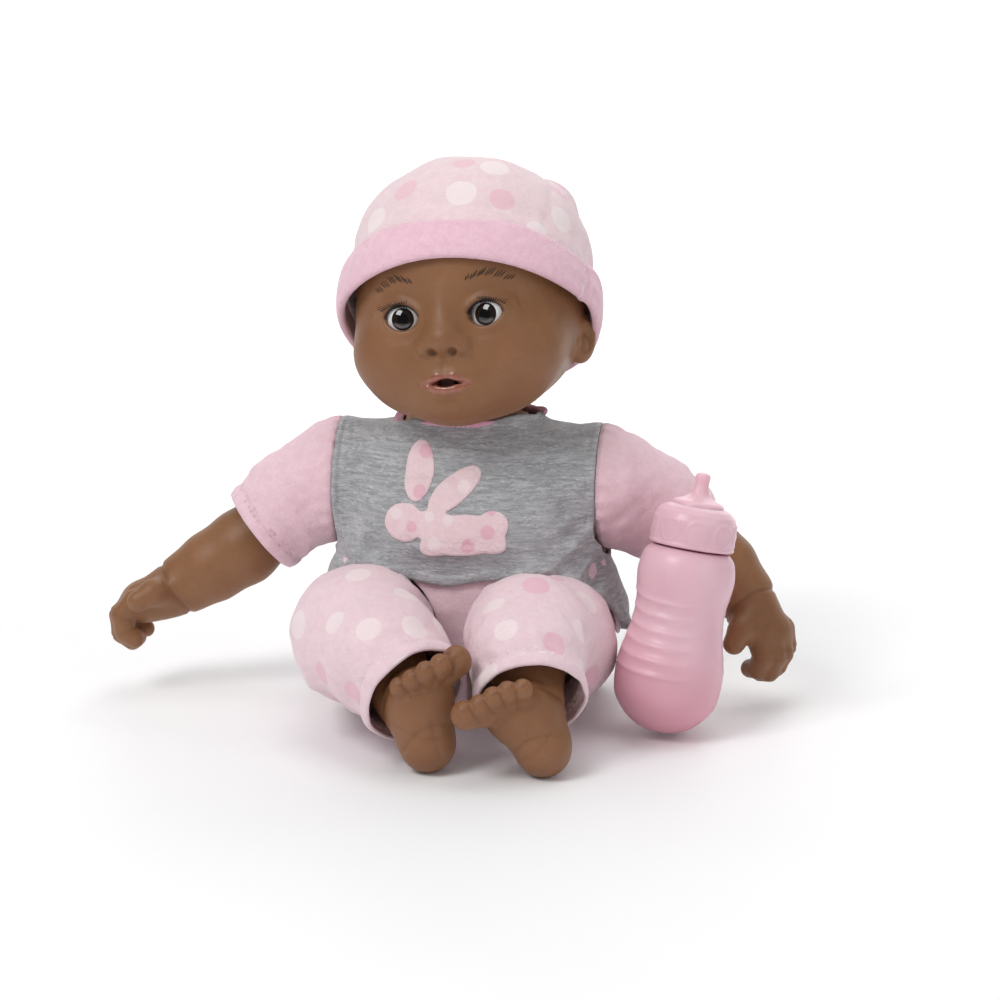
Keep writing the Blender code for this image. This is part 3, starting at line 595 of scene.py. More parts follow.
class Mat:
    """A Principled material and short calls that add nodes to it.

    Patterns are in mm, from the attribute loc or from the object's own coordinates."""

    def __init__(self, name, rough, own_coords=False):
        self.material = bpy.data.materials.new(name)
        self.material.use_nodes = True
        self.tree = self.material.node_tree
        self.tree.nodes.clear()
        output = self.tree.nodes.new("ShaderNodeOutputMaterial")
        self.shader = self.tree.nodes.new("ShaderNodeBsdfPrincipled")
        self.tree.links.new(self.shader.outputs[0], output.inputs[0])
        self.set(Roughness=rough)
        if own_coords:
            metres = self.node("TexCoord").outputs["Object"]
            scaled = self.node("VectorMath", {0: metres, "Scale": 1000.0}, operation="SCALE")
            self.place = scaled.outputs[0]
        else:
            self.place = self.node("Attribute", attribute_name="loc").outputs["Vector"]

    def feed(self, node, inputs):
        """Links or sets inputs, given as pairs of a socket's name or number and a value."""
        for key, value in dict(inputs).items():
            if isinstance(value, bpy.types.NodeSocket):
                self.tree.links.new(value, node.inputs[key])
            else:
                node.inputs[key].default_value = value

    def node(self, kind, inputs=(), **settings):
        node = self.tree.nodes.new("ShaderNode" + kind)
        for key, value in settings.items():
            setattr(node, key, value)
        self.feed(node, inputs)
        return node

    def set(self, **inputs):
        """Sets shader inputs; an underscore stands for a space."""
        self.feed(self.shader, {key.replace("_", " "): x for key, x in inputs.items()})

    def attr(self, name):
        return self.node("Attribute", attribute_name=name).outputs["Fac"]

    def math(self, operation, *values):
        return self.node("Math", enumerate(values), operation=operation).outputs[0]

    def split(self):
        return self.node("SeparateXYZ", {0: self.place}).outputs

    def mix(self, factor, a, b):
        return self.node("Mix", {0: factor, 6: a, 7: b}, data_type="RGBA").outputs[2]

    def noise(self, scale, detail=3.0, rough=0.5, stretch=None):
        place = self.place
        if stretch is not None:
            scaled = self.node("VectorMath", {0: place, 1: stretch}, operation="MULTIPLY")
            place = scaled.outputs[0]
        inputs = {"Vector": place, "Scale": scale, "Detail": detail, "Roughness": rough}
        return self.node("TexNoise", inputs).outputs[0]

    def voronoi(self, scale, feature="F1"):
        inputs = {"Vector": self.place, "Scale": scale}
        return self.node("TexVoronoi", inputs, feature=feature).outputs[0]

    def ramp(self, value, span, to=(0.0, 1.0)):
        """Smooth step of value from one end of span to the other."""
        return self.node("MapRange", enumerate((value, *span, *to)),
                         interpolation_type="SMOOTHSTEP").outputs[0]

    def tint(self, base, colour, mask, span, amount=None):
        """base turned towards colour as mask runs over span."""
        factor = self.ramp(mask, span)
        if amount is not None:
            factor = self.math("MULTIPLY", factor, amount)
        return self.mix(factor, base, colour)

    def mottle(self, a, b, span=(0.35, 0.65), **noise):
        return self.tint(a, b, self.noise(**noise), span)

    def relief(self, *terms):
        """Sums terms into one bump. A term is (height, mm) or a noise and its depth:
        (scale, detail, mm) or (scale, detail, roughness, mm)."""
        total = None
        for *source, depth in terms:
            height = source[0] if len(source) == 1 else self.noise(*source)
            height = self.math("MULTIPLY", height, depth)
            total = height if total is None else self.math("ADD", total, height)
        bump = self.node("Bump", {"Strength": 1.0, "Distance": MM, "Height": total})
        self.set(Normal=bump.outputs[0])


def skin_mat():
    """Vinyl; lip is below 0 on the lips, shade darkens and blush reddens."""
    m = Mat("doll_vinyl", rough=0.44)
    lip, shade, blush = m.attr("lip"), m.attr("shade"), m.attr("blush")
    base = m.mottle(rgb(134, 92, 60), rgb(142, 99, 66), scale=0.045, detail=2.0)
    fine = m.noise(scale=0.55, detail=4.0, rough=0.6)
    base = m.tint(base, rgb(121, 80, 54), fine, span=(0.35, 0.75), amount=0.22)
    lips = m.mottle(rgb(158, 96, 80), rgb(146, 84, 70), span=(0.3, 0.7), scale=0.5)
    base = m.tint(base, lips, lip, span=(0.7, -0.7), amount=0.85)
    base = m.tint(base, rgb(70, 38, 26), shade, span=(0.0, 1.0), amount=0.8)
    base = m.tint(base, rgb(26, 13, 10), shade, span=(0.72, 0.95), amount=0.9)
    base = m.tint(base, rgb(150, 92, 72), blush, span=(0.0, 1.0), amount=0.22)
    rough = m.ramp(m.noise(scale=0.9), span=(0.2, 0.8), to=(0.40, 0.52))
    wet = m.ramp(lip, span=(0.45, -0.45), to=(0.0, 0.24))
    m.set(Base_Color=base, Roughness=m.math("SUBTRACT", rough, wet), Subsurface_Weight=0.12,
          Subsurface_Radius=(0.9, 0.45, 0.25), Subsurface_Scale=0.002,
          Specular_IOR_Level=m.ramp(lip, span=(0.45, -0.45), to=(0.40, 0.75)))
    m.relief((1.6, 3.0, 0.05), (6.0, 2.0, 0.02), (0.18, 2.0, 0.12))
    return m.material


def cotton_mat(name, light, dark, thread=rgb(255, 246, 248), **dots):
    """Knitted cotton; each of dots names an attribute, below 0 inside a dot, and its colour."""
    m = Mat(name, rough=0.92)
    base = m.mottle(light, dark, scale=0.30, detail=4.0, rough=0.65)
    fleck = m.noise(scale=1.9, rough=0.7)
    base = m.tint(base, rgb(255, 250, 250), fleck, span=(0.52, 0.72), amount=0.30)
    base = m.tint(base, rgb(208, 162, 176), fleck, span=(0.44, 0.30), amount=0.14)
    for key, colour in dots.items():
        ragged = m.math("MULTIPLY", m.math("SUBTRACT", m.noise(scale=1.2), 0.5), 0.9)
        edge = m.math("ADD", m.attr(key), ragged)
        print_colour = m.mix(m.math("MULTIPLY", fleck, 0.35), colour, light)
        base = m.tint(base, print_colour, edge, span=(0.35, -0.35), amount=0.9)
    base = m.tint(base, thread, m.attr("stitch"), span=(0.35, 0.75), amount=0.55)
    m.set(Base_Color=base, Sheen_Weight=0.35, Sheen_Roughness=0.5, Specular_IOR_Level=0.2,
          Subsurface_Weight=0.10, Subsurface_Radius=(1.0, 0.6, 0.6), Subsurface_Scale=0.0012)
    m.relief((2.6, 4.0, 0.65, 0.16), (0.75, 3.0, 0.6, 0.22), (m.voronoi(scale=1.55), 0.10),
             (0.16, 2.0, 0.5), (m.attr("seam"), -1.0), (m.attr("stitch"), 0.35))
    return m.material


def heather_mat():
    m = Mat("grey_heather_jersey", rough=0.93)
    fine = m.noise(scale=1.0, rough=0.6, stretch=(0.55, 0.55, 2.3))
    base = m.mottle(rgb(150, 151, 154), rgb(186, 187, 190), span=(0.36, 0.66), scale=0.30,
                    detail=4.0, rough=0.62, stretch=(0.45, 0.45, 3.4))
    base = m.tint(base, rgb(214, 215, 217), fine, span=(0.52, 0.72), amount=0.75)
    base = m.tint(base, rgb(120, 121, 125), fine, span=(0.45, 0.27), amount=0.65)
    broad = m.noise(scale=0.085, detail=2.0, stretch=(1, 1, 3.0))
    base = m.tint(base, rgb(158, 159, 162), broad, span=(0.42, 0.62), amount=0.35)
    m.set(Base_Color=base, Sheen_Weight=0.35, Specular_IOR_Level=0.2)
    fuzz = m.noise(scale=2.4, detail=4.0, rough=0.65, stretch=(1, 1, 1.4))
    loops = m.noise(scale=0.7, stretch=(1, 1, 1.6))
    m.relief((fuzz, 0.16), (loops, 0.2), (m.voronoi(scale=1.5), 0.10), (0.15, 2.0, 0.5),
             (m.attr("seam"), -1.0), (m.attr("stitch"), 0.3))
    return m.material


def woven_mat(name, light, dark, weave=1.7, own_coords=False):
    """Plain weave; weave sets how close the threads lie."""
    m = Mat(name, rough=0.9, own_coords=own_coords)
    base = m.mottle(light, dark, scale=0.25, detail=4.0)
    x, y, z = m.split()

    def threads(across, lean):
        place = m.math("ADD", across, m.math("MULTIPLY", y, lean))
        return m.math("SINE", m.math("MULTIPLY", place, weave * 3.1))

    cloth = m.math("MULTIPLY", threads(x, lean=0.7), threads(z, lean=0.3))
    # the raised thread crossings are painted lighter, a painted highlight on the weave
    raised = m.ramp(cloth, span=(-0.6, 0.9), to=(0.0, 0.35))
    m.set(Base_Color=m.mix(raised, base, rgb(255, 252, 246)), Sheen_Weight=0.25)
    m.relief((cloth, 0.05), (2.0, 3.0, 0.1), (0.2, 2.0, 0.4))
    return m.material


def plain_mat(name, light, dark, rough, metal=0.0, grain=1.2):
    """Plastic or metal of the fixed parts; grain is the scale of its surface noise."""
    m = Mat(name, rough, own_coords=True)
    m.set(Base_Color=m.mottle(light, dark, scale=0.08), Metallic=metal,
          Roughness=m.ramp(m.noise(scale=0.7), span=(0.25, 0.75), to=(rough - 0.05, rough + 0.07)))
    m.relief((grain, 3.0, 0.03), (grain * 5, 2.0, 0.012))
    return m.material


def board_mat():
    m = Mat("board_green", rough=0.35, own_coords=True)

    def patches():
        edges = m.voronoi(scale=0.35, feature="DISTANCE_TO_EDGE")
        return m.ramp(edges, span=(0.03, 0.09))

    m.set(Base_Color=m.mix(patches(), rgb(196, 150, 60), rgb(26, 92, 54)))
    m.relief((patches(), 0.06))
    return m.material


def battery_mat():
    """Dark, then copper, then bare metal along x."""
    m = Mat("battery_sleeve", rough=0.35, own_coords=True)
    x = m.split()[0]
    bare = (14.6, 15.0)
    base = m.tint(rgb(38, 40, 44), rgb(200, 128, 60), x, span=(8.0, 8.4))
    base = m.tint(base, rgb(170, 172, 176), x, span=bare)
    m.set(Base_Color=base, Metallic=m.ramp(x, span=bare))
    m.relief((0.8, 3.0, 0.03))
    return m.material


def eye_mat():
    """look is the distance in mm from the middle of the iris over the ball, low is 1 towards
    the bottom of the iris, which a painted reflection greys, and lidz is above 0 on the lid."""
    m = Mat("eye_gloss", rough=0.12)
    look, low, lidz = m.attr("look"), m.attr("low"), m.attr("lidz")
    wide = (0.3, 0.7)
    white = m.mottle(rgb(232, 230, 228), rgb(222, 219, 217), span=wide, scale=0.4)
    iris = m.mottle(rgb(22, 14, 11), rgb(40, 27, 20), span=wide, scale=1.4, detail=4.0, rough=0.7)
    # the grey crescent in the lower iris is a painted reflection of the pale floor
    reflection_grey = m.mottle(rgb(74, 70, 69), rgb(92, 88, 86), span=wide, scale=1.6)
    ring = m.math("MULTIPLY", m.ramp(look, span=(2.3, 2.9)), m.ramp(look, span=(3.9, 3.3)))
    iris = m.mix(m.math("MULTIPLY", ring, m.ramp(low, span=(0.25, 0.8))), iris, reflection_grey)
    iris = m.tint(iris, rgb(5, 4, 4), look, span=(2.3, 2.0))
    iris = m.tint(iris, rgb(12, 8, 7), look, span=(3.7, 4.2))
    base = m.tint(iris, white, look, span=(4.25, 4.55))
    lid = m.mottle(rgb(147, 104, 76), rgb(138, 96, 70), span=wide, scale=0.5)
    m.set(Base_Color=m.tint(base, lid, lidz, span=(-0.15, 0.15)),
          Roughness=m.ramp(lidz, span=(-0.1, 0.1), to=(0.045, 0.42)), Specular_IOR_Level=0.7)
    m.relief((1.4, 3.0, 0.008))
    return m.material


def hair_mat(name, light, dark):
    m = Mat(name, rough=0.6)
    m.set(Base_Color=m.mottle(light, dark, span=(0.3, 0.7), scale=1.5))
    m.relief((4.0, 2.0, 0.02))
    return m.material


def bottle_mat(name, deep):
    """Milky pink plastic; if deep, it darkens towards the bottle's foot."""
    m = Mat(name, rough=0.34)
    base = m.mottle(rgb(233, 192, 203), rgb(229, 184, 197), span=(0.3, 0.7), scale=0.06, detail=2.0)
    if deep:
        base = m.tint(base, rgb(214, 142, 160), m.split()[2], span=(26.0, -19.0), amount=0.7)
    m.set(Base_Color=base, Subsurface_Weight=0.35, Subsurface_Radius=(1.0, 0.55, 0.6),
          Roughness=m.ramp(m.noise(scale=0.5), span=(0.25, 0.75), to=(0.28, 0.38)),
          Subsurface_Scale=0.006, Specular_IOR_Level=0.45)
    m.relief((1.2, 3.0, 0.025), (7.0, 2.0, 0.01))
    return m.material


def floor_mat():
    m = Mat("pale_floor", rough=0.5, own_coords=True)
    m.set(Base_Color=m.mottle(rgb(250, 250, 250), rgb(247, 247, 248), span=(0.3, 0.7),
                              scale=0.004, detail=2.0), Specular_IOR_Level=0.15)
    return m.material


WHITE_DOT = rgb(244, 228, 230)
STUFFING = rgb(214, 178, 150), rgb(205, 167, 138)
SKIN = skin_mat()
HEATHER = heather_mat()
CAP_COTTON = cotton_mat("cap_cotton", rgb(236, 212, 216), rgb(231, 205, 210),
                        dw=rgb(243, 230, 231), dp=rgb(233, 188, 200))
PANTS_COTTON = cotton_mat("pants_cotton", rgb(238, 211, 218), rgb(233, 204, 212),
                          dw=WHITE_DOT, dp=rgb(232, 182, 197))
CUFF_COTTON = cotton_mat("cuff_cotton", rgb(236, 196, 209), rgb(230, 187, 202))
SLEEVE_COTTON = cotton_mat("sleeve_cotton", rgb(236, 202, 211), rgb(231, 194, 205),
                           thread=rgb(206, 146, 170))
BAND_COTTON = cotton_mat("neckband_cotton", rgb(224, 166, 186), rgb(215, 154, 176))
BODY_CLOTH = woven_mat("stuffed_body_cloth", *STUFFING)
INNER_CLOTH = woven_mat("stuffed_body_cloth_inner", *STUFFING, own_coords=True)
WHITE = plain_mat("white_plastic", rgb(236, 235, 230), rgb(228, 227, 222), rough=0.42)
BLACK = plain_mat("black_plastic", rgb(30, 30, 32), rgb(40, 40, 43), rough=0.45)
STEEL = plain_mat("steel", rgb(176, 176, 178), rgb(196, 196, 200), rough=0.3, metal=1.0, grain=2.5)
NYLON = plain_mat("tie_nylon", rgb(232, 230, 222), rgb(222, 220, 212), rough=0.5)
INNER_SKIN = plain_mat("skin_vinyl_inner", rgb(120, 78, 54), rgb(134, 90, 64), rough=0.5)
MOUTH = plain_mat("mouth_vinyl", rgb(66, 22, 16), rgb(78, 28, 20), rough=0.45)
BOARD = board_mat()
BATTERY = battery_mat()

# ---------------------------------------------------------------- joints shared with the frame
HEAD_AT = vec(0.7, -4.0, 160.0)
HEAD_TURN = rot("Z", 8) @ rot("X", -13) @ rot("Y", -3) @ rot("Z", -14)
HEAD = HEAD_TURN, HEAD_AT
NECK_IN_HEAD = vec(0, 14, -62)
NECK = HEAD_AT + HEAD_TURN @ NECK_IN_HEAD
CAP = HEAD_TURN @ rot("X", -29), HEAD_AT
SHOULDER = {"right": vec(-57, 3, 86), "left": vec(57, 3, 86)}
HIP = {"right": vec(-31, -6, 27), "left": vec(32, -6, 27)}

# ---------------------------------------------------------------- head
# in the head's own axes: x to the doll's left, y backwards, z up
EYE_X, EYE_Y, EYE_Z = 16.9, -31.8, -8.8
EYE_R = 9.4
OPEN_X, OPEN_Z = 16.1, -8.7   # middle of an eye opening in the front view
OPEN_HALF, OPEN_UP, OPEN_DOWN = 6.5, 5.0, 4.3
LIP = spline([   # outline of both lips in the front view: x, z
    (-10.4, -33.5), (-7.0, -32.0), (-3.4, -29.7), (0, -30.7), (3.4, -29.7), (7.0, -32.0),
    (10.4, -33.5), (7.4, -35.6), (4.0, -37.1), (0, -37.5), (-4.0, -37.1), (-7.4, -35.6),
    (-10.4, -33.5)])
# ovals: centre, radii, blend; those off the middle are mirrored
FACE = [((0, -3.5, -12), (42.3, 40.5, 33.5), 9), ((0, -17, 14), (33, 27, 24), 10),
        ((19.5, -21.5, -21.5), (20.5, 19.5, 17.0), 9), ((0, -20.0, -32.5), (29.0, 20.0, 14.5), 10),
        ((0, -30.0, -39.5), (13.0, 9.5, 8.5), 9), ((0, -34.0, -31.5), (13.0, 8.6, 8.5), 6)]
NOSE = [((0, -44.6, -17.6), (5.6, 4.8, 4.6), 3.6), ((6.9, -42.6, -19.9), (3.8, 4.3, 3.8), 2.3)]
CHEEK_CREASE = [(10.8, -38, -21.5), (13.2, -37, -27.0), (12.8, -36, -32.5)]
# each lip from its corner to the middle: points, radii, blend
LIP_ROLLS = [
    ([(9.8, -37.0, -33.3), (6.4, -40.9, -32.0), (3.2, -42.5, -31.0), (0.0, -42.5, -31.8)],
     [0.5, 1.15, 1.5, 1.2], 1.5),
    ([(9.2, -37.4, -33.9), (6.0, -40.6, -34.9), (3.0, -41.9, -35.7), (0.0, -42.2, -35.9)],
     [0.5, 1.2, 1.7, 1.85], 1.6)]
EAR_TURN = rot("Z", -34) @ rot("Y", 8)


def eye_at(sign):
    return vec(sign * EYE_X, EYE_Y, EYE_Z)


def eye_frame(sign):
    return HEAD_TURN, HEAD_AT + HEAD_TURN @ eye_at(sign)


def eye_gap(pts):
    """Signed distance to the nearer eye opening in the front view: two arcs that meet."""
    gaps = []
    for sign in (1, -1):
        u = (pts[:, 0] - sign * OPEN_X) * sign
        w = pts[:, 2] - OPEN_Z - 0.05 * u
        upper, lower = ((OPEN_HALF**2 + rise**2) / (2 * rise) for rise in (OPEN_UP, OPEN_DOWN))
        up = np.sqrt(u * u + (w - (OPEN_UP - upper)) ** 2) - upper
        down = np.sqrt(u * u + (w - (lower - OPEN_DOWN)) ** 2) - lower
        gaps.append(smax(up, down, 1.2))
    return np.minimum(*gaps)


def add_ovals(dist, pts, half, rows):
    for centre, radii, blend in rows:
        dist = smin(dist, oval(half if centre[0] else pts, centre, radii), blend)
    return dist


def head_field(pts):
    x, y, z = pts.T
    half = mirrored(pts)
    half_x = half[:, 0]
    dist = oval(pts, (0, 2.5, 4), (43.2, 43.5, 43.6))
    dist = add_ovals(dist, pts, half, FACE)
    under_cap = oval(pts, (0, 0, 0), (43.5, 45.3, 47.6)) - 40 * ease(-z, -17, -9)
    dist = smax(dist, under_cap, 2)
    # eye sockets and lids over the eyes
    dist = smax(dist, -oval(half, (15.4, -50.0, -6.5), (12.5, 8.2, 8.5)), 7)
    for sign in (1, -1):
        ball = length(pts - eye_at(sign)) - EYE_R
        dist = smin(dist, ball - 1.25 + 40 * ease(y, -36, -30), 3.5)
    # nose with its nostrils, and the groove under it
    dist = smin(dist, cone(pts, (0, -37.4, -3.0), (0, -42.4, -15.5), 3.6, 4.8), 9)
    dist = add_ovals(dist, pts, half, NOSE)
    dist = smax(dist, -oval(half, (4.0, -46.2, -22.3), (1.9, 2.8, 1.5), rot("Z", 14)), 0.8)
    dist = dist + 0.55 * bell(np.sqrt(x * x + (z + 26.0) ** 2 * 0.25), 1.6) * (y < -20)
    # a rolled edge round each eye opening, a crease above and below it
    front = ease(-y, 18, 26)
    gap = eye_gap(pts)
    above = z - OPEN_Z
    dist = dist - front * (0.45 * bell(gap - 1.1, 1.2)
                           + 0.5 * bell(gap - 2.2, 1.9) * ease(above, 0, 4))
    upper = ease(above, 1.5, 3.5) * ease(8 - np.abs(half_x - OPEN_X), 0, 4)
    dist = dist + front * (0.16 * bell(gap - 3.9, 1.0) * upper
                           + 0.10 * bell(gap - 3.9, 0.9) * ease(-above, 1.0, 3.5))
    dist = dist + fold(half, CHEEK_CREASE, 1.7, 0.45)
    # lips, the slit and round hole of the mouth, and the dent above the chin
    for line, radii, blend in LIP_ROLLS:
        dist = smin(dist, tube(half, line, radii, 1.0), blend)
    dist = smax(dist, -oval(half, (0.0, -42.0, -33.6), (10.6, 5.0, 0.55)), 0.8)
    dist = smax(dist, -oval(half, (0.0, -42.0, -33.4), (3.7, 9.0, 1.5)), 0.8)
    hole = np.sqrt(x * x + (z + 33.0) ** 2) - 3.05 + (y > -22) * 9 + (y < -39.5) * 9
    dist = smax(dist, -hole, 0.3)
    dist = dist + 0.8 * bell(np.sqrt(x * x * 0.16 + (z + 41.2) ** 2), 1.9) * (y < -25)
    # ears
    ear = oval(half, (42.2, 3.0, -18.4), (3.7, 6.9, 9.2), EAR_TURN)
    ear = smax(ear, -oval(half, (45.2, 0.6, -17.4), (2.8, 4.4, 6.4), EAR_TURN), 1.0)
    ear = smin(ear, oval(half, (43.2, 2.2, -20.4), (1.4, 2.0, 3.6), EAR_TURN), 0.8)
    ear = smin(ear, oval(half, (41.9, -2.4, -19.6), (1.5, 1.4, 2.0), EAR_TURN), 1.0)
    dist = smin(dist, ear, 2.2)
    # hollow, eye openings and seats, neck
    dist = smax(dist, -np.maximum(oval(pts, (0, 0, 0), (40.3, 42.3, 44.8)), -33.0 - y), 0.8)
    dist = smax(dist, -np.maximum(gap, y + 12), 0.9)
    for sign in (1, -1):
        dist = np.maximum(dist, -(length(pts - eye_at(sign)) - EYE_R - 0.35))
    return smax(dist, -(length(pts - NECK_IN_HEAD) - 22.0), 1.2)


def head_looks(verts):
    x, y, z = verts.T
    half = mirrored(verts)
    front = y < -30
    above = z - OPEN_Z > 0
    lids = 1.0 - ease(eye_gap(verts), 0.1, np.where(above, 1.9, 0.9))
    lids = lids * np.where(above, 1.0, 0.5)
    nostrils = bell(np.sqrt(((half[:, 0] - 4.0) / 1.2) ** 2 + (z + 22.2) ** 2), 1.5)
    mouth = bell(np.sqrt((x / 1.3) ** 2 + ((z + 33.4) / 0.5) ** 2), 2.4)
    cheeks = bell(length(half - vec(22, -33, -22)), 11)
    nose = bell(length(half - vec(0, -47, -18)), 5)
    # shade: a dark line round each eye opening, half as strong below it, and painted shade in the
    # nostrils and the mouth hole
    return {"lip": np.where(front, outline_dist(verts[:, [0, 2]], LIP), 9),
            "shade": np.where(front, np.maximum(np.maximum(lids, 0.72 * nostrils), mouth), 0),
            "blush": cheeks + 0.6 * nose}


def on_head(x, z, out):
    """Points out mm off the face, straight behind (x, z) in the front view."""
    y = np.full(len(x), -56.0)
    for _ in range(60):
        pts = np.stack([x, y, z], 1)
        y = y + np.maximum(head_field(pts) - out, 0) * 0.8
    return np.stack([x, y, z], 1)


def eyeball(side, sign):
    """A ball with iris and lid; rings of quads run from its front to its back."""
    around, rings = 96, 64
    rows = []
    for j in range(1, rings):
        tilt = math.pi * j / rings
        rows.append([(EYE_R * math.sin(tilt) * math.cos(turn), -EYE_R * math.cos(tilt),
                      EYE_R * math.sin(tilt) * math.sin(turn))
                     for turn in np.arange(around) * 2 * math.pi / around])
    verts, quads = grid_mesh(rows)
    front, back = len(verts), len(verts) + 1
    verts = np.vstack([verts, [(0, -EYE_R, 0)], [(0, EYE_R, 0)]])
    gaze = unit(vec(sign * (OPEN_X - EYE_X) - sign * 0.25, -EYE_R, 0.15))
    look = np.arccos(np.clip(verts @ gaze / length(verts), -1, 1)) * EYE_R
    low = -(verts[:, 2] - gaze[2] * EYE_R) / 3.3
    rise = np.degrees(np.arctan2(verts[:, 2], -verts[:, 1]))
    eye = make("eyeball_" + side, verts, quads[:, ::-1], EYE, eye_frame(sign),
               look=look, low=low, lidz=(rise - 33.0) / 3.0)
    # triangles close both ends
    last = (rings - 2) * around
    fans = [((i + 1) % around, i, front) for i in range(around)]
    fans += [(last + (i + 1) % around, last + i, back) for i in range(around)]
    mesh = bmesh.new()
    mesh.from_mesh(eye.data)
    mesh.verts.ensure_lookup_table()
    for fan in fans:
        mesh.faces.new([mesh.verts[k] for k in fan]).smooth = True
    bmesh.ops.recalc_face_normals(mesh, faces=mesh.faces[:])
    mesh.to_mesh(eye.data)
    mesh.free()
    fit(eye, "eye_" + side, "eye_" + side)


def lashes(side, sign):
    count = 13
    parts = []
    for i in range(count):
        u = -1.8 + 7.4 * i / (count - 1)   # from the opening's middle, outwards
        rise = 4.7 * math.sqrt(max(1 - (u / 7.0) ** 2, 0)) - 0.35
        root = vec(sign * (OPEN_X - EYE_X + u), 0, OPEN_Z - EYE_Z + rise + 0.05 * u)
        reach = EYE_R + 0.02
        root[1] = -math.sqrt(max(reach * reach - root[0] ** 2 - root[2] ** 2, 1))
        out = unit(vec(sign * u * 0.14, -1.0, 0.12))
        long = 2.6 + 0.6 * ease(u, -2, 6) + 0.3 * hash01(i, 3)
        middle = root + out * long * 0.8 + vec(sign * 0.1, 0, 0.5)
        curl = vec(sign * (0.3 + u * 0.26), -0.2, 2.2 + 0.4 * hash01(i, 8) - 0.16 * u)
        parts.append(strand(root, middle, root + out * long + curl, 0.27, 0.10))
    piece = make("lashes_" + side, *join_meshes(parts), LASH, eye_frame(sign))
    fit(piece, "eye_" + side, None)


def brows():
    """Short strokes on the face along two arcs."""
    parts = []
    # sign of x; inner end, top and outer end as x, z
    for sign, *arc in ((-1, (-11.4, 5.0), (-18.6, 6.6), (-26.8, 2.6)),
                       (1, (9.8, 5.0), (17.6, 7.2), (26.0, 4.4))):
        arc = spline(arc, 8)
        count = len(arc)
        for i in range(count):
            x, z = arc[i] + vec(0.0, 0.35 * math.sin(i * 2.1))
            lean = (0.25 + 0.9 * i / count) * sign
            half = 1.3 * (0.6 + 0.5 * math.sin(math.pi * (i + 0.9) / (count + 0.9)))
            slope = lean * half
            start, middle, end = on_head(vec(x - slope, x + 0.15, x + slope * 1.15),
                                         vec(z - half, z, z + half), 0.02)
            parts.append(strand(start, middle * 2 - (start + end) / 2, end, 0.27, 0.13))
    fit(make("brow_strokes", *join_meshes(parts), BROW, HEAD), "head", None)


verts, quads = solid(head_field, ((-49, -53, -54), (49, 49, 51)), 0.95, 500)
fit(make("head_skin", verts, quads, SKIN, HEAD, **head_looks(verts)),
    "head", "head_shell")
EYE = eye_mat()
for side, sign in SIDES[::-1]:
    eyeball(side, sign)
LASH = hair_mat("lash_fibre", rgb(22, 14, 11), rgb(36, 24, 18))
BROW = hair_mat("painted_brow", rgb(48, 27, 18), rgb(60, 36, 24))
for side, sign in SIDES[::-1]:
    lashes(side, sign)
brows()


# ---------------------------------------------------------------- printed dots and stitches
def dots(verts, table):
    """Signed distance to the nearest dot, given as x, y, z, radius; at most 9."""
    dist = np.full(len(verts), 9.0)
    for x, y, z, radius in table:
        dist = np.minimum(dist, length(verts - vec(x, y, z)) - radius)
    return dist


def onto(base, pts):
    for _ in range(12):
        slope = gradient(base, pts, 0.2)
        square = np.maximum((slope * slope).sum(1), 0.05)
        pts = pts - (base(pts) / square)[:, None] * slope
    return pts


def snap(table, base):
    """Dots with their centres moved onto a surface."""
    table = np.array(table, float)
    return [(*centre, row[3]) for centre, row in zip(onto(base, table[:, :3]), table)]


def scatter(base, bounds, gap, seed):
    """Dots spread over a surface, none closer than gap."""
    random = np.random.default_rng(seed)
    pts = onto(base, random.uniform(*bounds, (4000, 3)))
    pts = pts[np.abs(base(pts)) < 0.3]
    smallest, largest = 4.6, 5.6
    out = []
    for p in pts:
        if all(np.linalg.norm(p - dot[:3]) > gap for dot in out):
            out.append((*p, smallest + (largest - smallest) * random.random()))
    return out


def stitches(offset, width, run, level=-0.35):
    """A dashed row at offset 0, with its dashes where the sine of run is above level."""
    return bell(offset, width) * (np.sin(run) > level)


# ---------------------------------------------------------------- cap
# in its own axes, z up through the crown; a gathered tuft, slack folds and a turned-up cuff
TUFT = vec(16.5, 3.0, 51.6)
CROWN_FOLDS = [   # points, width, height
    ([(18, 3, 51), (31, -2, 41), (41, -8, 22), (44, -12, 5)], 2.6, 1.9),
    ([(17, 1, 51), (26, -13, 42), (32, -27, 26), (34, -33, 8)], 2.6, 1.3),
    ([(15, 1, 52), (6, -13, 48), (-3, -25, 41), (-12, -36, 26)], 3.0, 0.9),
    ([(18, 5, 51), (35, 12, 37), (45, 16, 12)], 2.6, 1.4),
    ([(17, 7, 51), (22, 30, 38), (22, 42, 14)], 3.0, 1.3),
    ([(14, 5, 52), (-6, 18, 47), (-26, 26, 34)], 3.2, 1.0),
    ([(-42, -12, 14), (-34, -26, 20), (-20, -38, 22)], 4.0, 0.7),
    ([(-38, 6, 30), (-22, -16, 38), (-4, -26, 40)], 4.5, 0.8),
]
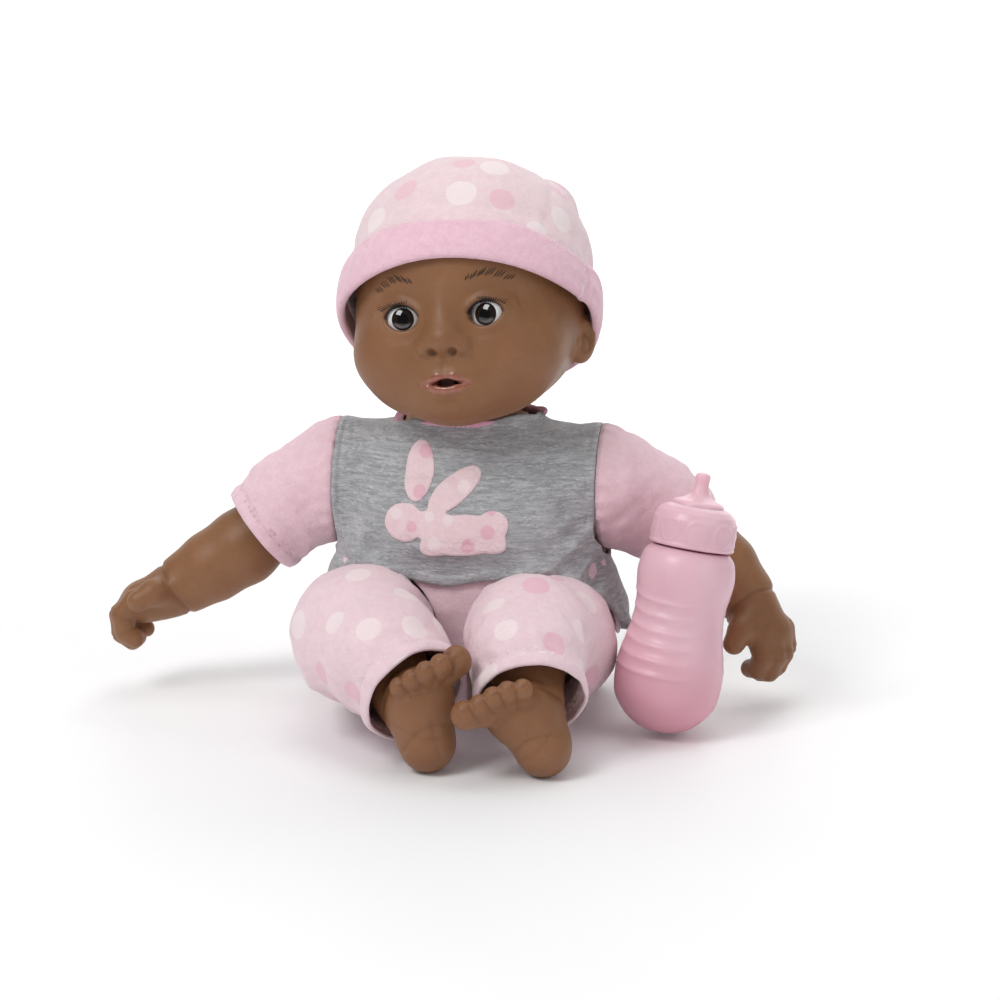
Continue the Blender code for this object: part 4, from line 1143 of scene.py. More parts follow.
# each fold has a shallower dip beside it
CROWN_FOLDS = [(spline(line, 5), spline(np.array(line) + vec(0.6, 0.2, 0) * width * 2.2, 5),
                width, height) for line, width, height in CROWN_FOLDS]
CAP_WHITE_DOTS = [   # x, y, z, radius
    (-27, -34, 14, 5.6), (6, -41, 17, 6.0), (-12, -26, 38, 6.0), (14, -32, 30, 5.5),
    (38, -22, 17, 5.4), (-42, -8, 20, 5.8), (-36, 22, 22, 6), (-8, 30, 38, 6), (16, 44, 12, 5.8),
    (44, 14, 24, 5.5), (-18, 42, 16, 6), (0, 4, 52, 5.6), (-24, -8, 44, 5.5), (30, -30, 6, 4.5)]
CAP_PINK_DOTS = [
    (-15, -39, 22, 5.2), (-36, -22, 26, 5.4), (20, -38, 16, 5.0), (4, -34, 33, 4.6),
    (34, -16, 32, 5.2), (28, 2, 44, 4.6), (-10, -10, 49, 5.2), (-42, 8, 30, 5.4),
    (-28, 30, 30, 5), (2, 42, 26, 5.2), (32, 30, 26, 5.2), (46, 2, 12, 4.6), (-44, 14, 8, 5),
    (0, 46, 6, 5.2), (14, 22, 46, 5)]
CUFF_LAP = math.radians(-13)   # where the cuff's ends overlap, by the doll's left ear


def crown_base(pts):
    """Outside of the crown before its folds."""
    radius, power = 48.0, 2.25
    x, y, z = pts.T
    across = np.sqrt(x ** 2 + y ** 2)
    up = np.maximum(z - 4.0, 0) / 50.0
    rho = ((across / radius) ** power + up**power + 1e-9) ** (1 / power)
    return smin((rho - 1) * radius, oval(pts, (22, 7, 41.5), (14, 12, 11.0)), 12)


def crown_field(pts):
    height = np.zeros(len(pts))
    for line, dip, width, rise in CROWN_FOLDS:
        height += fold(pts, line, width, rise)
        height -= fold(pts, dip, width * 1.1, rise * 0.65)
    height += 0.55 * wobble(pts, 34, 2) + 0.25 * wobble(pts, 15, 7)
    away = length(pts - TUFT)
    angle = np.arctan2(pts[:, 1] - TUFT[1], pts[:, 0] - TUFT[0])
    height += (1.1 * bell(away - 7.5, 4.5) * np.cos(angle * 7 + 0.6)
               + 0.6 * bell(away - 12, 5) * np.cos(angle * 5))
    dist = crown_base(pts) - height
    tuft = oval(pts, TUFT + vec(0.8, 0, 1.0), (5.2, 4.6, 3.4))
    dist = smin(dist, tuft - 0.7 * np.cos(angle * 6) * bell(away, 7), 2.6)
    return dist + 1.2 * bell(length(pts - TUFT - vec(5.5, -2.5, -1.5)), 3.4)


def crown():
    bounds = (-56, -56, -5), (56, 56, 62)

    def trim(pts):
        return -(pts[:, 2] + 2.0)

    def held(pts):
        return ease(-pts[:, 2], -14, -6)

    move = drape(crown_field, trim, bounds, 3.0, held, cap=1.5)
    verts, quads, rest = sheet(crown_field, trim, bounds, 1.5, 1.2, move)
    piece = make("cap_crown", verts, quads, CAP_COTTON, CAP,
                 dw=dots(rest, snap(CAP_WHITE_DOTS, crown_base)),
                 dp=dots(rest, snap(CAP_PINK_DOTS, crown_base)), seam=0.0, stitch=0.0)
    fit(piece, "hat", "hat_crown")


def cuff_parts(pts):
    """Angle, radius, height, angle from the overlap, ripple, and the lower and upper edge."""
    x, y, z = pts[:, 0], pts[:, 1] - 0.5, pts[:, 2]
    angle = np.arctan2(y, x)
    ripple = 0.5 * np.sin(angle * 3 + 0.7) + 0.35 * np.sin(angle * 7 + 2)
    bottom = -12.6 + 0.5 * np.sin(angle * 4 + 1) + 0.8 * ease(x, 10, 46) + 1.6 * ease(y, 20, 46)
    top = 5.0 + 0.7 * np.sin(angle * 5) + ripple * 0.4
    return angle, np.sqrt(x * x + y * y), z, wrap(angle - CUFF_LAP), ripple, bottom, top


def cuff_field(pts):
    angle, radius, z, lap, ripple, bottom, top = cuff_parts(pts)
    middle, half = (bottom + top) / 2, (top - bottom) / 2
    bulge = 0.9 * (1 - np.clip((z - middle) / half, -1, 1) ** 2)
    out = 50.4 + bulge + 0.22 * ripple
    out = (out + 0.9 * ease(lap, -0.02, 0.05) * ease(0.42 - lap, 0, 0.4)
           + 0.25 * np.sin(z * 0.9 + angle * 3) * bell(lap, 0.3))
    out = out - 0.5 * bell(lap + 0.03, 0.022)
    half_thick = 1.75
    dist = smax(np.abs(radius - (out - half_thick)) - half_thick, np.abs(z - middle) - half, 2.4)
    # the fold line near the lower edge
    return dist + 0.28 * bell(z - (bottom + 3.2), 0.55) * ease(radius, 49, 50.5)


def cuff():
    verts, quads = solid(cuff_field, ((-56, -56, -17), (56, 56, 10)), 1.1, 500)
    angle, _, z, lap, _, _, top = cuff_parts(verts)
    stitch = (stitches(lap + 0.075, 0.012, z * 3.2, -0.2)
              + stitches(z - (top - 2.4), 0.45, angle * 140, -0.3) * 0.5)
    piece = make("cap_cuff", verts, quads, CUFF_COTTON, CAP,
                 seam=0.5 * bell(lap + 0.03, 0.02), stitch=stitch)
    fit(piece, "hat", "hat_cuff")


crown()
cuff()

# ---------------------------------------------------------------- shirt
SHIRT = np.array([   # z, half width, half depth, y of the middle
    (-4, 62, 44.5, 4), (8, 62.5, 45, 4), (25, 62.5, 46, 3), (40, 60.0, 46, 2.5),
    (50, 57.0, 45.6, 2), (60, 53.8, 44.4, 1.8), (70, 52.0, 43, 1.5), (80, 51.2, 40.6, 1.5),
    (90, 50.2, 36.6, 1.4), (97, 48.6, 33.2, 1.2), (102, 46.4, 30.2, 1.0), (105.5, 43.0, 28.0, 0.6),
    (108.6, 37.0, 25.6, 0.0), (111.0, 30.0, 23.2, -1.2), (114, 27.0, 21.5, -1.5)], float)
BODY_X, BODY_Y = 1.0, 2.0   # the body's upright axis
HEM_ANGLES = [0, 20, 38, 50, 62, 75, 92, 120, 180]   # degrees from the front, to either side
HEM_HEIGHTS = [55.5, 57.5, 60.5, 59.5, 51, 38, 27, 22.5, 21]
SEAM_X = 50.6                    # sleeve seam
ARMHOLE_Y, ARMHOLE_Z = 3, 87
SHIRT_FOLDS = [   # points, width, height
    # under the arms, running in towards the tummy
    ([(-50, -16, 72), (-40, -33, 64), (-24, -43, 60)], 3.2, 1.5),
    ([(-54, -10, 62), (-48, -27, 53), (-38, -37, 49)], 3.0, 1.4),
    ([(52, -14, 76), (43, -31, 67), (26, -43, 61), (12, -45, 60)], 3.2, 1.6),
    ([(54, -14, 66), (46, -30, 58), (30, -42, 54), (16, -45, 54)], 2.8, 1.7),
    ([(57, -8, 56), (52, -25, 47), (42, -36, 44)], 3.0, 1.4),
    ([(40, -36, 62), (30, -42, 58.5), (20, -45, 58)], 1.8, 1.1),
    # from the shoulders towards the chest
    ([(-46, -14, 92), (-36, -27, 86), (-26, -35, 80)], 3.0, 1.0),
    ([(46, -14, 94), (37, -26, 87), (28, -34, 80)], 3.0, 1.1),
    ([(48, -10, 84), (42, -27, 78), (34, -35, 73)], 2.6, 0.9),
    # hem flares
    ([(-58, -8, 48), (-61, -6, 34), (-62, 0, 24)], 3.6, 1.5),
    ([(60, -4, 50), (62, -2, 36), (62, 4, 24)], 3.6, 1.5),
    ([(52, 22, 60), (54, 26, 40), (54, 28, 22)], 4.0, 1.3),
    ([(-52, 22, 60), (-54, 26, 40), (-54, 28, 22)], 4.0, 1.3),
    ([(26, 42, 60), (27, 46, 40), (28, 47, 22)], 4.2, 1.1),
    ([(-24, 42, 60), (-25, 46, 40), (-27, 47, 22)], 4.2, 1.1),
]
SHIRT_FOLDS = [(spline(line), width, height) for line, width, height in SHIRT_FOLDS]
SHIRT_BOUNDS = (-70, -56, 12), (70, 60, 120)
JAW_POSES = ((-5, -40), (3, 45), (0, 0), (-5, 0), (-5, 30))   # nod and swing, degrees


def body_dist(pts, table, power=2.4):
    """Rounded box whose section follows a table like SHIRT."""
    x, y, z = pts.T
    wide, deep, middle = (np.interp(z, table[:, 0], table[:, i]) for i in (1, 2, 3))
    a, b = np.abs(x - BODY_X) / wide, np.abs(y - middle) / deep
    rho = (a**power + b**power + 1e-9) ** (1 / power)
    return (rho - 1) * (wide * b + deep * a + 1e-3) / (a + b + 1e-4)


def body_angle(pts):
    """Angle round the body from the front, growing to the doll's left."""
    return np.arctan2(pts[:, 0] - BODY_X, -(pts[:, 1] - BODY_Y))


def armhole_radius(pts):
    return np.sqrt((pts[:, 1] - ARMHOLE_Y) ** 2 + (pts[:, 2] - ARMHOLE_Z) ** 2)


def armhole_angle(pts):
    return np.arctan2(pts[:, 2] - ARMHOLE_Z, pts[:, 1] - ARMHOLE_Y)


def hem_z(pts):
    angle = np.degrees(np.abs(body_angle(pts)))
    wave = 0.8 * np.sin(np.radians(angle) * 5.0 + 0.4) * np.sign(pts[:, 0] + 0.1)
    return np.interp(angle, HEM_ANGLES, HEM_HEIGHTS) + wave


def shirt_field(pts):
    x, y, z = pts.T
    shoulder = cone(mirrored(pts), (30, 2.0, 89), (50.5, 3, 87.0), 20.0, 23.9)
    dist = smin(body_dist(pts, SHIRT), shoulder, 7)
    height = np.zeros(len(pts))
    for line, width, rise in SHIRT_FOLDS:
        shift = vec(0, 0, width * 1.9)
        dips = fold(pts, line + shift, width, 1.0) + fold(pts, line - shift, width, 1.0)
        height += 1.5 * fold(pts, line, width, rise) - 0.7 * rise * dips * 0.5
    height += 0.6 * wobble(pts, 30, 3) * ease(z, 112, 100) + 0.25 * wobble(pts, 12, 5)
    # the belly pushes the jersey out over the lap, where it rolls in towards the hem
    belly = ease(30 - np.abs(x), 0, 14) * ease(-y, 10, 20)
    height += belly * (0.9 * bell(z - 69.5, 4.0) - 2.6 * ease(67.5 - z, 0, 5.5))
    hem = hem_z(pts)
    flare = ease(z, hem + 12, hem)
    hem_band = 0.35 * bell(z - hem - 1.6, 2.0) - 0.35 * bell(z - hem - 4.2, 0.8)
    return dist - height - flare - hem_band


def clear_jaw(pts, poses=JAW_POSES):
    """How far a point sits inside the space that the jaw sweeps."""
    worst = np.full(len(pts), -9.0)
    for nod, swing in poses:
        turn = rot("X", nod) @ rot(Vector(HEAD_TURN[:, 2]), swing)
        local = ((pts - NECK) @ turn + NECK - HEAD_AT) @ HEAD_TURN
        head = np.minimum(oval(local, (0, 0, 0), (43.5, 44.5, 47.5)),
                          oval(local, (0, -20.0, -32.5), (29.6, 20.6, 15.2)))
        head = np.minimum(head, oval(local, (0, -30.0, -39.5), (13.8, 10.3, 9.4)))
        worst = np.maximum(worst, 0.8 - head)
    return worst


def shirt_trim(pts):
    """Positive where the shirt is open: hem, neck, armholes, and room over the thighs."""
    x, y, z = pts.T
    open_ = hem_z(pts) - z
    armhole = np.minimum(np.abs(x) - SEAM_X, 27.5 - armhole_radius(pts))
    open_ = np.maximum(open_, armhole)
    collar = z - 111.8 - 3.2 * ease(-y, 6, 22) - 3.6 * ease(x, 8, 27) * ease(12 - y, 0, 14)
    open_ = np.maximum(open_, collar)
    open_ = np.maximum(open_, 21.4 - length(pts - NECK))
    for side, _ in SIDES:
        open_ = np.maximum(open_, 28.6 - length(pts - HIP[side] - vec(0, -2, 0)))
    return open_


def shirt_held(pts):
    x, y, z = pts.T
    arm = ease(np.abs(x), 42, 47) * ease(30 - armhole_radius(pts), 0, 3)
    hem = ease(hem_z(pts) + 5 - z, -2, 2) * 0.75
    return np.maximum(np.maximum(arm, ease(z, 96, 104)), hem)


def shirt_shell():
    verts, quads, _ = sheet(shirt_field, shirt_trim, SHIRT_BOUNDS, 1.5, 1.3, shirt_move)
    x, y, z = verts.T
    hem = hem_z(verts)
    run = body_angle(verts) * 62
    on_armhole = np.abs(armhole_radius(verts) - 23.9) < 2.5
    seam = (0.45 * bell(z - hem - 3.8, 0.9)
            + 0.6 * bell(np.abs(np.abs(x) - SEAM_X) - 2.4, 0.55) * on_armhole)
    stitch = (stitches(z - hem - 2.9, 0.38, run) + 0.8 * stitches(z - hem - 4.6, 0.34, run + 1.2))
    fit(make("shirt_jersey", verts, quads, HEATHER, seam=seam, stitch=stitch),
        "torso", "shirt_body")


def band_field(pts):
    """Ribbed band round the neck, cut clear of the jaw."""
    x, y, z = (pts - vec(0.6, -1.5, 0)).T
    angle = np.arctan2(y / 20.5, x / 25.5)
    ring_x, ring_y = 27.7 * np.cos(angle), 22.2 * np.sin(angle)
    middle = (112.4 + 0.045 * (y + 22) + 3.3 * ease(-y, 4, 20)
              + 4.4 * ease(x, 4, 25) * ease(12 - y, 0, 14))
    out = np.sqrt(x ** 2 + y ** 2) - np.sqrt(ring_x**2 + ring_y**2)
    up = z - middle
    section = np.stack([np.abs(out + up * 0.35) - 0.55, np.abs(up) - 0.55], 1)
    dist = length(np.maximum(section, 0)) + np.minimum(section.max(1), 0)
    return smax(dist - 1.35 - 0.14 * np.sin(angle * 96), clear_jaw(pts), 0.4)


def neckband():
    mesh = solid(band_field, ((-33, -28, 107), (34, 26, 122)), 0.75, 300)
    fit(make("shirt_neckband_rib", *mesh, BAND_COTTON, seam=0.0, stitch=0.0),
        "torso", "shirt_neckband")


# the printed rabbit in the front view: centre x and z, half sizes, turn in degrees
RABBIT = [((-15.0, 97.6), (5.7, 11.0), 3), ((-0.8, 91.4), (5.3, 12.2), 48),
          ((-19.6, 78.8), (7.6, 7.2), 0), ((-8.6, 78.4), (9.0, 5.0), 0),
          ((3.4, 75.0), (15.8, 7.6), -4), ((14.8, 79.4), (5.4, 4.8), 20),
          ((-8.4, 69.8), (5.0, 3.0), 0), ((15.4, 71.6), (4.6, 3.4), 0)]
RABBIT_PINK_DOTS = [(-12.8, 0, 104.8, 2.6), (-14.0, 0, 90.4, 2.5), (-16.4, 0, 77.4, 2.2),
                    (12.6, 0, 76.4, 2.7), (5.4, 0, 71.4, 2.5), (13.8, 0, 84.6, 1.9)]
RABBIT_WHITE_DOTS = [(2.7, 0, 92.8, 2.5), (-22.8, 0, 82.0, 2.2), (-9.6, 0, 81.4, 1.9),
                     (-2.4, 0, 80.4, 1.9), (-7.6, 0, 71.6, 2.6)]


def rabbit_dist(x, z):
    dist = None
    for (middle_x, middle_z), (wide, high), turn in RABBIT:
        cos, sin = math.cos(math.radians(turn)), math.sin(math.radians(turn))
        u = (x - middle_x) * cos - (z - middle_z) * sin
        w = (x - middle_x) * sin + (z - middle_z) * cos
        part = (np.sqrt((u / wide) ** 2 + (w / high) ** 2) - 1) * min(wide, high)
        dist = part if dist is None else smin(dist, part, 1.6)
    return dist


def rabbit():
    """A thin patch that follows the jersey."""
    def field(pts):
        dist = shirt_field(pts)
        return smax(np.maximum(dist - 0.7, -0.7 - dist), rabbit_dist(pts[:, 0], pts[:, 2]), 0.4)

    rest, quads = solid(field, ((-31, -51, 63), (26, -19, 115)), 0.55, 400)
    verts = rest
    if shirt_move is not None:
        verts = rest + shirt_move(rest, normals(shirt_field, rest, 0.35))
    flat = rest * vec(1, 0, 1)
    edge = np.abs(rabbit_dist(rest[:, 0], rest[:, 2]) + 1.0)
    cotton = cotton_mat("applique_print", rgb(240, 214, 218), rgb(237, 208, 213),
                        dw=WHITE_DOT, dp=rgb(233, 178, 194))
    piece = make("rabbit_print", verts, quads, cotton, dp=dots(flat, RABBIT_PINK_DOTS),
                 dw=dots(flat, RABBIT_WHITE_DOTS), seam=0.0, stitch=0.3 * bell(edge, 0.3))
    fit(piece, "torso", "shirt_print")


def closure_tape():
    """A strip of hook-and-loop tape down the back."""
    def field(pts):
        hooks = 0.1 * np.sin(pts[:, 0] * 2.2) * np.sin(pts[:, 2] * 2.2)
        return shirt_field(pts) - 1.3 - hooks

    def trim(pts):
        return np.maximum(np.abs(pts[:, 0] - BODY_X) - 4.6, np.abs(pts[:, 2] - 66.0) - 37)

    verts, quads, _ = sheet(field, trim, ((-7, 20, 26), (9, 60, 106)), 1.0, 1.0, shirt_move)
    tape = woven_mat("hook_and_loop_tape", rgb(238, 234, 232), rgb(226, 221, 219), weave=2.6)
    fit(make("closure_tape", verts, quads, tape), "torso", "back_closure")


shirt_move = drape(shirt_field, shirt_trim, SHIRT_BOUNDS, 3.2, shirt_held, cap=1.7, grow=0.06)
shirt_shell()
neckband()
rabbit()
closure_tape()

# ---------------------------------------------------------------- sleeves
SLEEVE_PATH = {"right": [vec(-50, 3, 87), vec(-70.9, 0.5, 76.4), vec(-82, -1.8, 65.6)],
               "left": [vec(50, 3, 87), vec(70.6, 9.7, 77.0), vec(81.5, 15.5, 67.2)]}
SLEEVE_RADII = [23.7, 18.9, 17.0, 16.8]
SLEEVE_FOLDS = [   # point of the path they start from, offsets with x outwards, width, height
    (1, [(-6, -12, -13), (2, -17, -5), (8, -15, 4)], 2.4, 1.0),
    (1, [(-13, -10, -13), (-6, -19, -4), (-2, -18, 5)], 2.6, 1.1),
    (0, [(3, -20, 10), (12, -20, 4), (18, -17, -4)], 3.4, 0.9),
    (0, [(4, -12, -19), (10, -16, -14), (16, -18, -8)], 2.8, 1.2),
    (1, [(-2, 12, -12), (4, 17, -4), (8, 15, 5)], 2.8, 1.0),
]


def sleeve(side, sign):
    """Set in at a round seam on the shirt, with a hem at the opening."""
    path = SLEEVE_PATH[side]
    along = unit(path[2] - SHOULDER[side])
    tip = path[2] + along * 1.0
    line = path + [path[2] + along * 12]
    across = unit(np.cross(along, (0, 1, 0)))
    folds = [(spline([path[i] + vec(sign * x, y, z) for x, y, z in offsets]), width, rise)
             for i, offsets, width, rise in SLEEVE_FOLDS]

    def field(pts):
        out = np.abs(pts[:, 0])
        height = 0.35 * wobble(pts, 20, 11 + sign) + 0.15 * wobble(pts, 8, 3)
        for crease, width, rise in folds:
            height = height + 1.4 * fold(pts, crease, width, rise)
        gather = 0.35 * np.sin(armhole_angle(pts) * 22) * bell(out - SEAM_X - 2.5, 3.2)
        dist = tube(pts, line, SLEEVE_RADII, 6) - height * ease(out, 51, 57) - gather
        inside = np.minimum(armhole_radius(pts) - 21.9, SEAM_X + 0.55 - pts[:, 0] * sign)
        dist = smax(dist, inside, 0.5)
        t = (pts - tip) @ along
        return dist - 0.45 * bell(t + 2.6, 2.2) + 0.35 * bell(t + 5.6, 0.7)

    def trim(pts):
        return np.maximum((pts - tip) @ along, 46.2 - pts[:, 0] * sign)

    def held(pts):
        return np.maximum(ease(62 - pts[:, 0] * sign, 0, 6), ease((pts - tip) @ along, -8, -4))

    near, far = sorted((sign * 42, sign * 110))
    bounds = (near, -30, 38), (far, 46, 118)
    move = drape(field, trim, bounds, 2.8, held, cap=1.2)
    verts, quads, _ = sheet(field, trim, bounds, 1.3, 1.3, move)
    t = (verts - tip) @ along
    run = 46 * np.arctan2((verts - tip) @ across, (verts - tip) @ unit(np.cross(along, across)))
    out = verts[:, 0] * sign - SEAM_X
    stitch = (stitches(t + 4.4, 0.36, run) + stitches(t + 6.2, 0.36, run + 1) * 0.8
              + stitches(out - 2.0, 0.35, armhole_angle(verts) * 60, -0.3) * 0.6)
    piece = make("sleeve_knit_" + side, verts, quads, SLEEVE_COTTON,
                 seam=0.5 * bell(out - 1.0, 0.6) + 0.3 * bell(t + 5.3, 0.8), stitch=stitch)
    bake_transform(piece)
    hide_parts("sleeve_" + side)


for side, sign in SIDES:
    sleeve(side, sign)

# ---------------------------------------------------------------- forearms
# centre lines: forearm to the wrist, hand from wrist to curled fingertips, thumb
ARM = {
    "right": ([(-90, -3.5, 58.5), (-102, -5.5, 50.8), (-112, -7.2, 44.5), (-117.5, -8.2, 41.2)],
              [(-117.5, -8.2, 41.2), (-127, -9.0, 39.5), (-137.0, -9.8, 34.5),
               (-140.5, -10.2, 28.0), (-134.5, -12.0, 23.5)],
              [(-117.5, -15.5, 43.0), (-122.5, -21.0, 43.2), (-128.0, -23.6, 40.2)]),
    "left": ([(87.5, 18.5, 60.5), (97.5, 18.2, 51.5), (106, 14.2, 42.2), (109.5, 11.8, 37.6)],
             [(109.5, 11.8, 37.6), (113.5, 7.4, 32.0), (120.5, 3.0, 25.4),
              (126.0, -0.5, 18.5), (123.0, -4.0, 14.2)],
             [(110.0, 3.0, 34.8), (107.0, -3.6, 32.0), (104.4, -7.0, 27.4)]),
}
FOREARM_RADII = [12.9, 14.4, 13.4, 11.3, 10.2]
THUMB_RADII = [6.2, 5.2, 4.3]
# offset towards the thumb, length factor, radius, extra bend at the root in degrees
FINGERS = ((7.6, 1.08, 4.5, 0), (2.6, 1.16, 4.6, -4), (-2.5, 1.1, 4.5, -2), (-7.2, 0.92, 4.1, 6))
# finger joints: length, bend after it in degrees, radius factor
JOINTS = ((7.6, 50, 0.99), (6.0, 46, 0.93), (4.4, 0, 0.82))


def arm_along(side):
    """Direction from the shoulder down the upper arm."""
    return unit(SLEEVE_PATH[side][2] - vec(0, 0, 0.4) - SHOULDER[side])


def forearm(side):
    shoulder = SHOULDER[side]
    down = arm_along(side)
    start = shoulder + down * 27.2
    fore, hand, thumb = ([vec(*p) for p in line] for line in ARM[side])
    fore = [start] + fore
    wrist = hand[0]
    # the hand's axes: along it, towards the thumb, and the way the fingers curl
    along = unit(hand[2] - wrist)
    to_thumb = unit((thumb[1] + thumb[2]) / 2 - hand[1])
    to_thumb = unit(to_thumb - (to_thumb @ along) * along)
    curl = np.cross(along, to_thumb)
    if curl @ (hand[4] - hand[2]) < 0:
        curl = -curl
    axes = np.stack([along, to_thumb, curl], 1)
    palm = wrist + along * 10.5 + curl * 1.0
    wrist_axis = unit(fore[4] - fore[2])
    fingers = []
    for offset, stretch, radius, lag in FINGERS:
        point = wrist + along * (15.0 - abs(offset - 1) * 0.18) + to_thumb * offset - curl * 1.0
        line, radii, bend = [point], [radius * 1.04], 30 + lag
        for reach, turn, factor in JOINTS:
            angle = math.radians(bend)
            point = (point + (along * math.cos(angle) + curl * math.sin(angle)) * reach * stretch
                     + to_thumb * (-offset * 0.045))
            line.append(point)
            radii.append(radius * factor)
            bend += turn
        fingers.append((line, radii))

    def wrist_offset(pts):
        wave = 0.9 * np.sin(((pts - wrist) @ to_thumb) * 0.22)
        return (pts - wrist) @ wrist_axis + wave + 1.2

    def joints(line, radii):
        for k in (1, 2):
            yield line[k], radii[k], unit(line[k + 1] - line[k - 1])

    def field(pts):
        dist = tube(pts, fore, FOREARM_RADII, 4)
        dist = smin(dist, oval(pts, palm, (12.0, 10.4, 8.6), axes), 6)
        pad = wrist + along * 13.5 + to_thumb * 0.5 - curl * 0.8
        dist = smin(dist, oval(pts, pad, (6.6, 10.2, 6.4), axes), 3)
        all_fingers = None
        for line, radii in fingers:
            finger = tube(pts, line, radii, 0.8)
            for joint, _, axis in joints(line, radii):   # creases
                near = length(pts - joint) < 6.5
                finger = finger + 0.30 * bell((pts - joint) @ axis, 0.55) * near
            all_fingers = finger if all_fingers is None else smin(all_fingers, finger, 0.7)
        dist = smin(dist, all_fingers, 1.7)
        for line, radii in fingers:   # nails
            tip = unit(line[3] - line[2])
            side_on = np.cross(to_thumb, tip)
            back = unit(-curl * 0.5 + side_on * (1 if side_on @ curl < 0 else -1))
            nail_axes = np.stack([tip, to_thumb, np.cross(tip, to_thumb)], 1)
            middle = line[3] + back * radii[3] * 0.72 + tip * 0.9
            dist = smin(dist, oval(pts, middle, (1.9, 1.7, 0.95), nail_axes), 0.35)
        dist = smin(dist, tube(pts, thumb, THUMB_RADII, 1.5), 2.2)
        for line, radii in fingers:   # knuckle dimples
            knuckle = line[0] - curl * radii[0] * 1.05
            dist = dist + 0.55 * bell(length(pts - knuckle), 1.5)
        dist = dist + 0.85 * bell(wrist_offset(pts), 1.0) * (length(pts - wrist) < 15)
        dist = smax(dist, -((pts - start) @ down), 0.8)
        # spigot into the upper arm
        offset = pts - shoulder
        t = offset @ down
        spigot = np.maximum(length(offset - t[:, None] * down) - 8.2, np.abs(t - 24) - 8)
        return smin(dist, spigot, 0.4)

    verts, quads = solid(field, box(fore + hand + thumb, 17), 0.95, 300)
    shade = 0.35 * bell(wrist_offset(verts), 0.8) * (length(verts - wrist) < 14)
    for line, radii in fingers:
        for joint, radius, axis in joints(line, radii):
            crease = bell(length(verts - joint) - radius, 0.4001)
            shade = np.maximum(shade, 0.35 * crease * bell((verts - joint) @ axis, 0.5))
    piece = make("vinyl_forearm_" + side, verts, quads, SKIN, lip=9.0, shade=shade,
                 blush=0.5 * bell(length(verts - palm + curl * 6), 7))
    fit(piece, "arm_" + side, "forearm_" + side)


for side, _ in SIDES:
    forearm(side)

# ---------------------------------------------------------------- trouser legs
LEG_PATH = {"right": [HIP["right"], vec(-34, -34, 33), vec(-33, -58, 40), vec(-19, -79, 36),
                      vec(-6.5, -94, 28)],
            "left": [HIP["left"], vec(36, -36, 33), vec(31, -61, 41), vec(33, -80, 36.5),
                     vec(36.5, -93.5, 27.5)]}
LEG_RADII = {"right": [26.0, 26.0, 25.0, 22.5, 19.0], "left": [26.0, 25.0, 22.5, 21.0, 19.0]}
LEG_FOLDS = {   # points, width, height
    "right": [([(-50, -30, 48), (-42, -42, 58), (-28, -50, 62)], 3.4, 1.3),
              ([(-56, -52, 40), (-50, -62, 52), (-36, -72, 58)], 3.6, 1.1),
              ([(-10, -40, 50), (-14, -58, 56), (-24, -72, 56)], 3.2, 1.4),
              ([(-46, -76, 34), (-36, -86, 40), (-24, -90, 44)], 2.6, 0.9),
              ([(-12, -30, 44), (-9, -48, 44), (-7, -64, 44)], 2.8, 1.3),
              ([(-54, -40, 18), (-54, -60, 20), (-44, -80, 22)], 3.6, 1.0),
              ([(-30, -98, 18), (-34, -86, 24), (-40, -76, 28)], 2.2, 0.8)],
    "left": [([(50, -34, 50), (42, -44, 58), (28, -50, 62)], 3.2, 1.2),
             ([(14, -36, 50), (14, -54, 58), (20, -70, 58)], 3.0, 1.4),
             ([(10, -34, 44), (10, -50, 46), (12, -66, 46)], 2.8, 1.3),
             ([(54, -50, 44), (52, -66, 50), (48, -80, 48)], 3.4, 1.2),
             ([(54, -56, 30), (54, -72, 34), (53, -84, 32)], 3.0, 1.2),
             ([(22, -86, 52), (32, -92, 50), (44, -94, 46)], 2.6, 0.8),
             ([(56, -44, 20), (56, -60, 20), (54, -76, 20)], 3.4, 1.0)],
}


def tucked(verts):
    """Points at the shirt, or just outside it, moved in under its cloth."""
    depth = shirt_field(verts)
    weight = (ease(-shirt_trim(verts), -0.5, 2.5) * ease(depth, -5.5, -3.5)
              * ease(7.0 - depth, 0, 2))
    shift = weight * np.maximum(depth + 3.2 - 0.12 * (depth + 3.2), 0)
    return verts - normals(shirt_field, verts, 0.4) * shift[:, None]


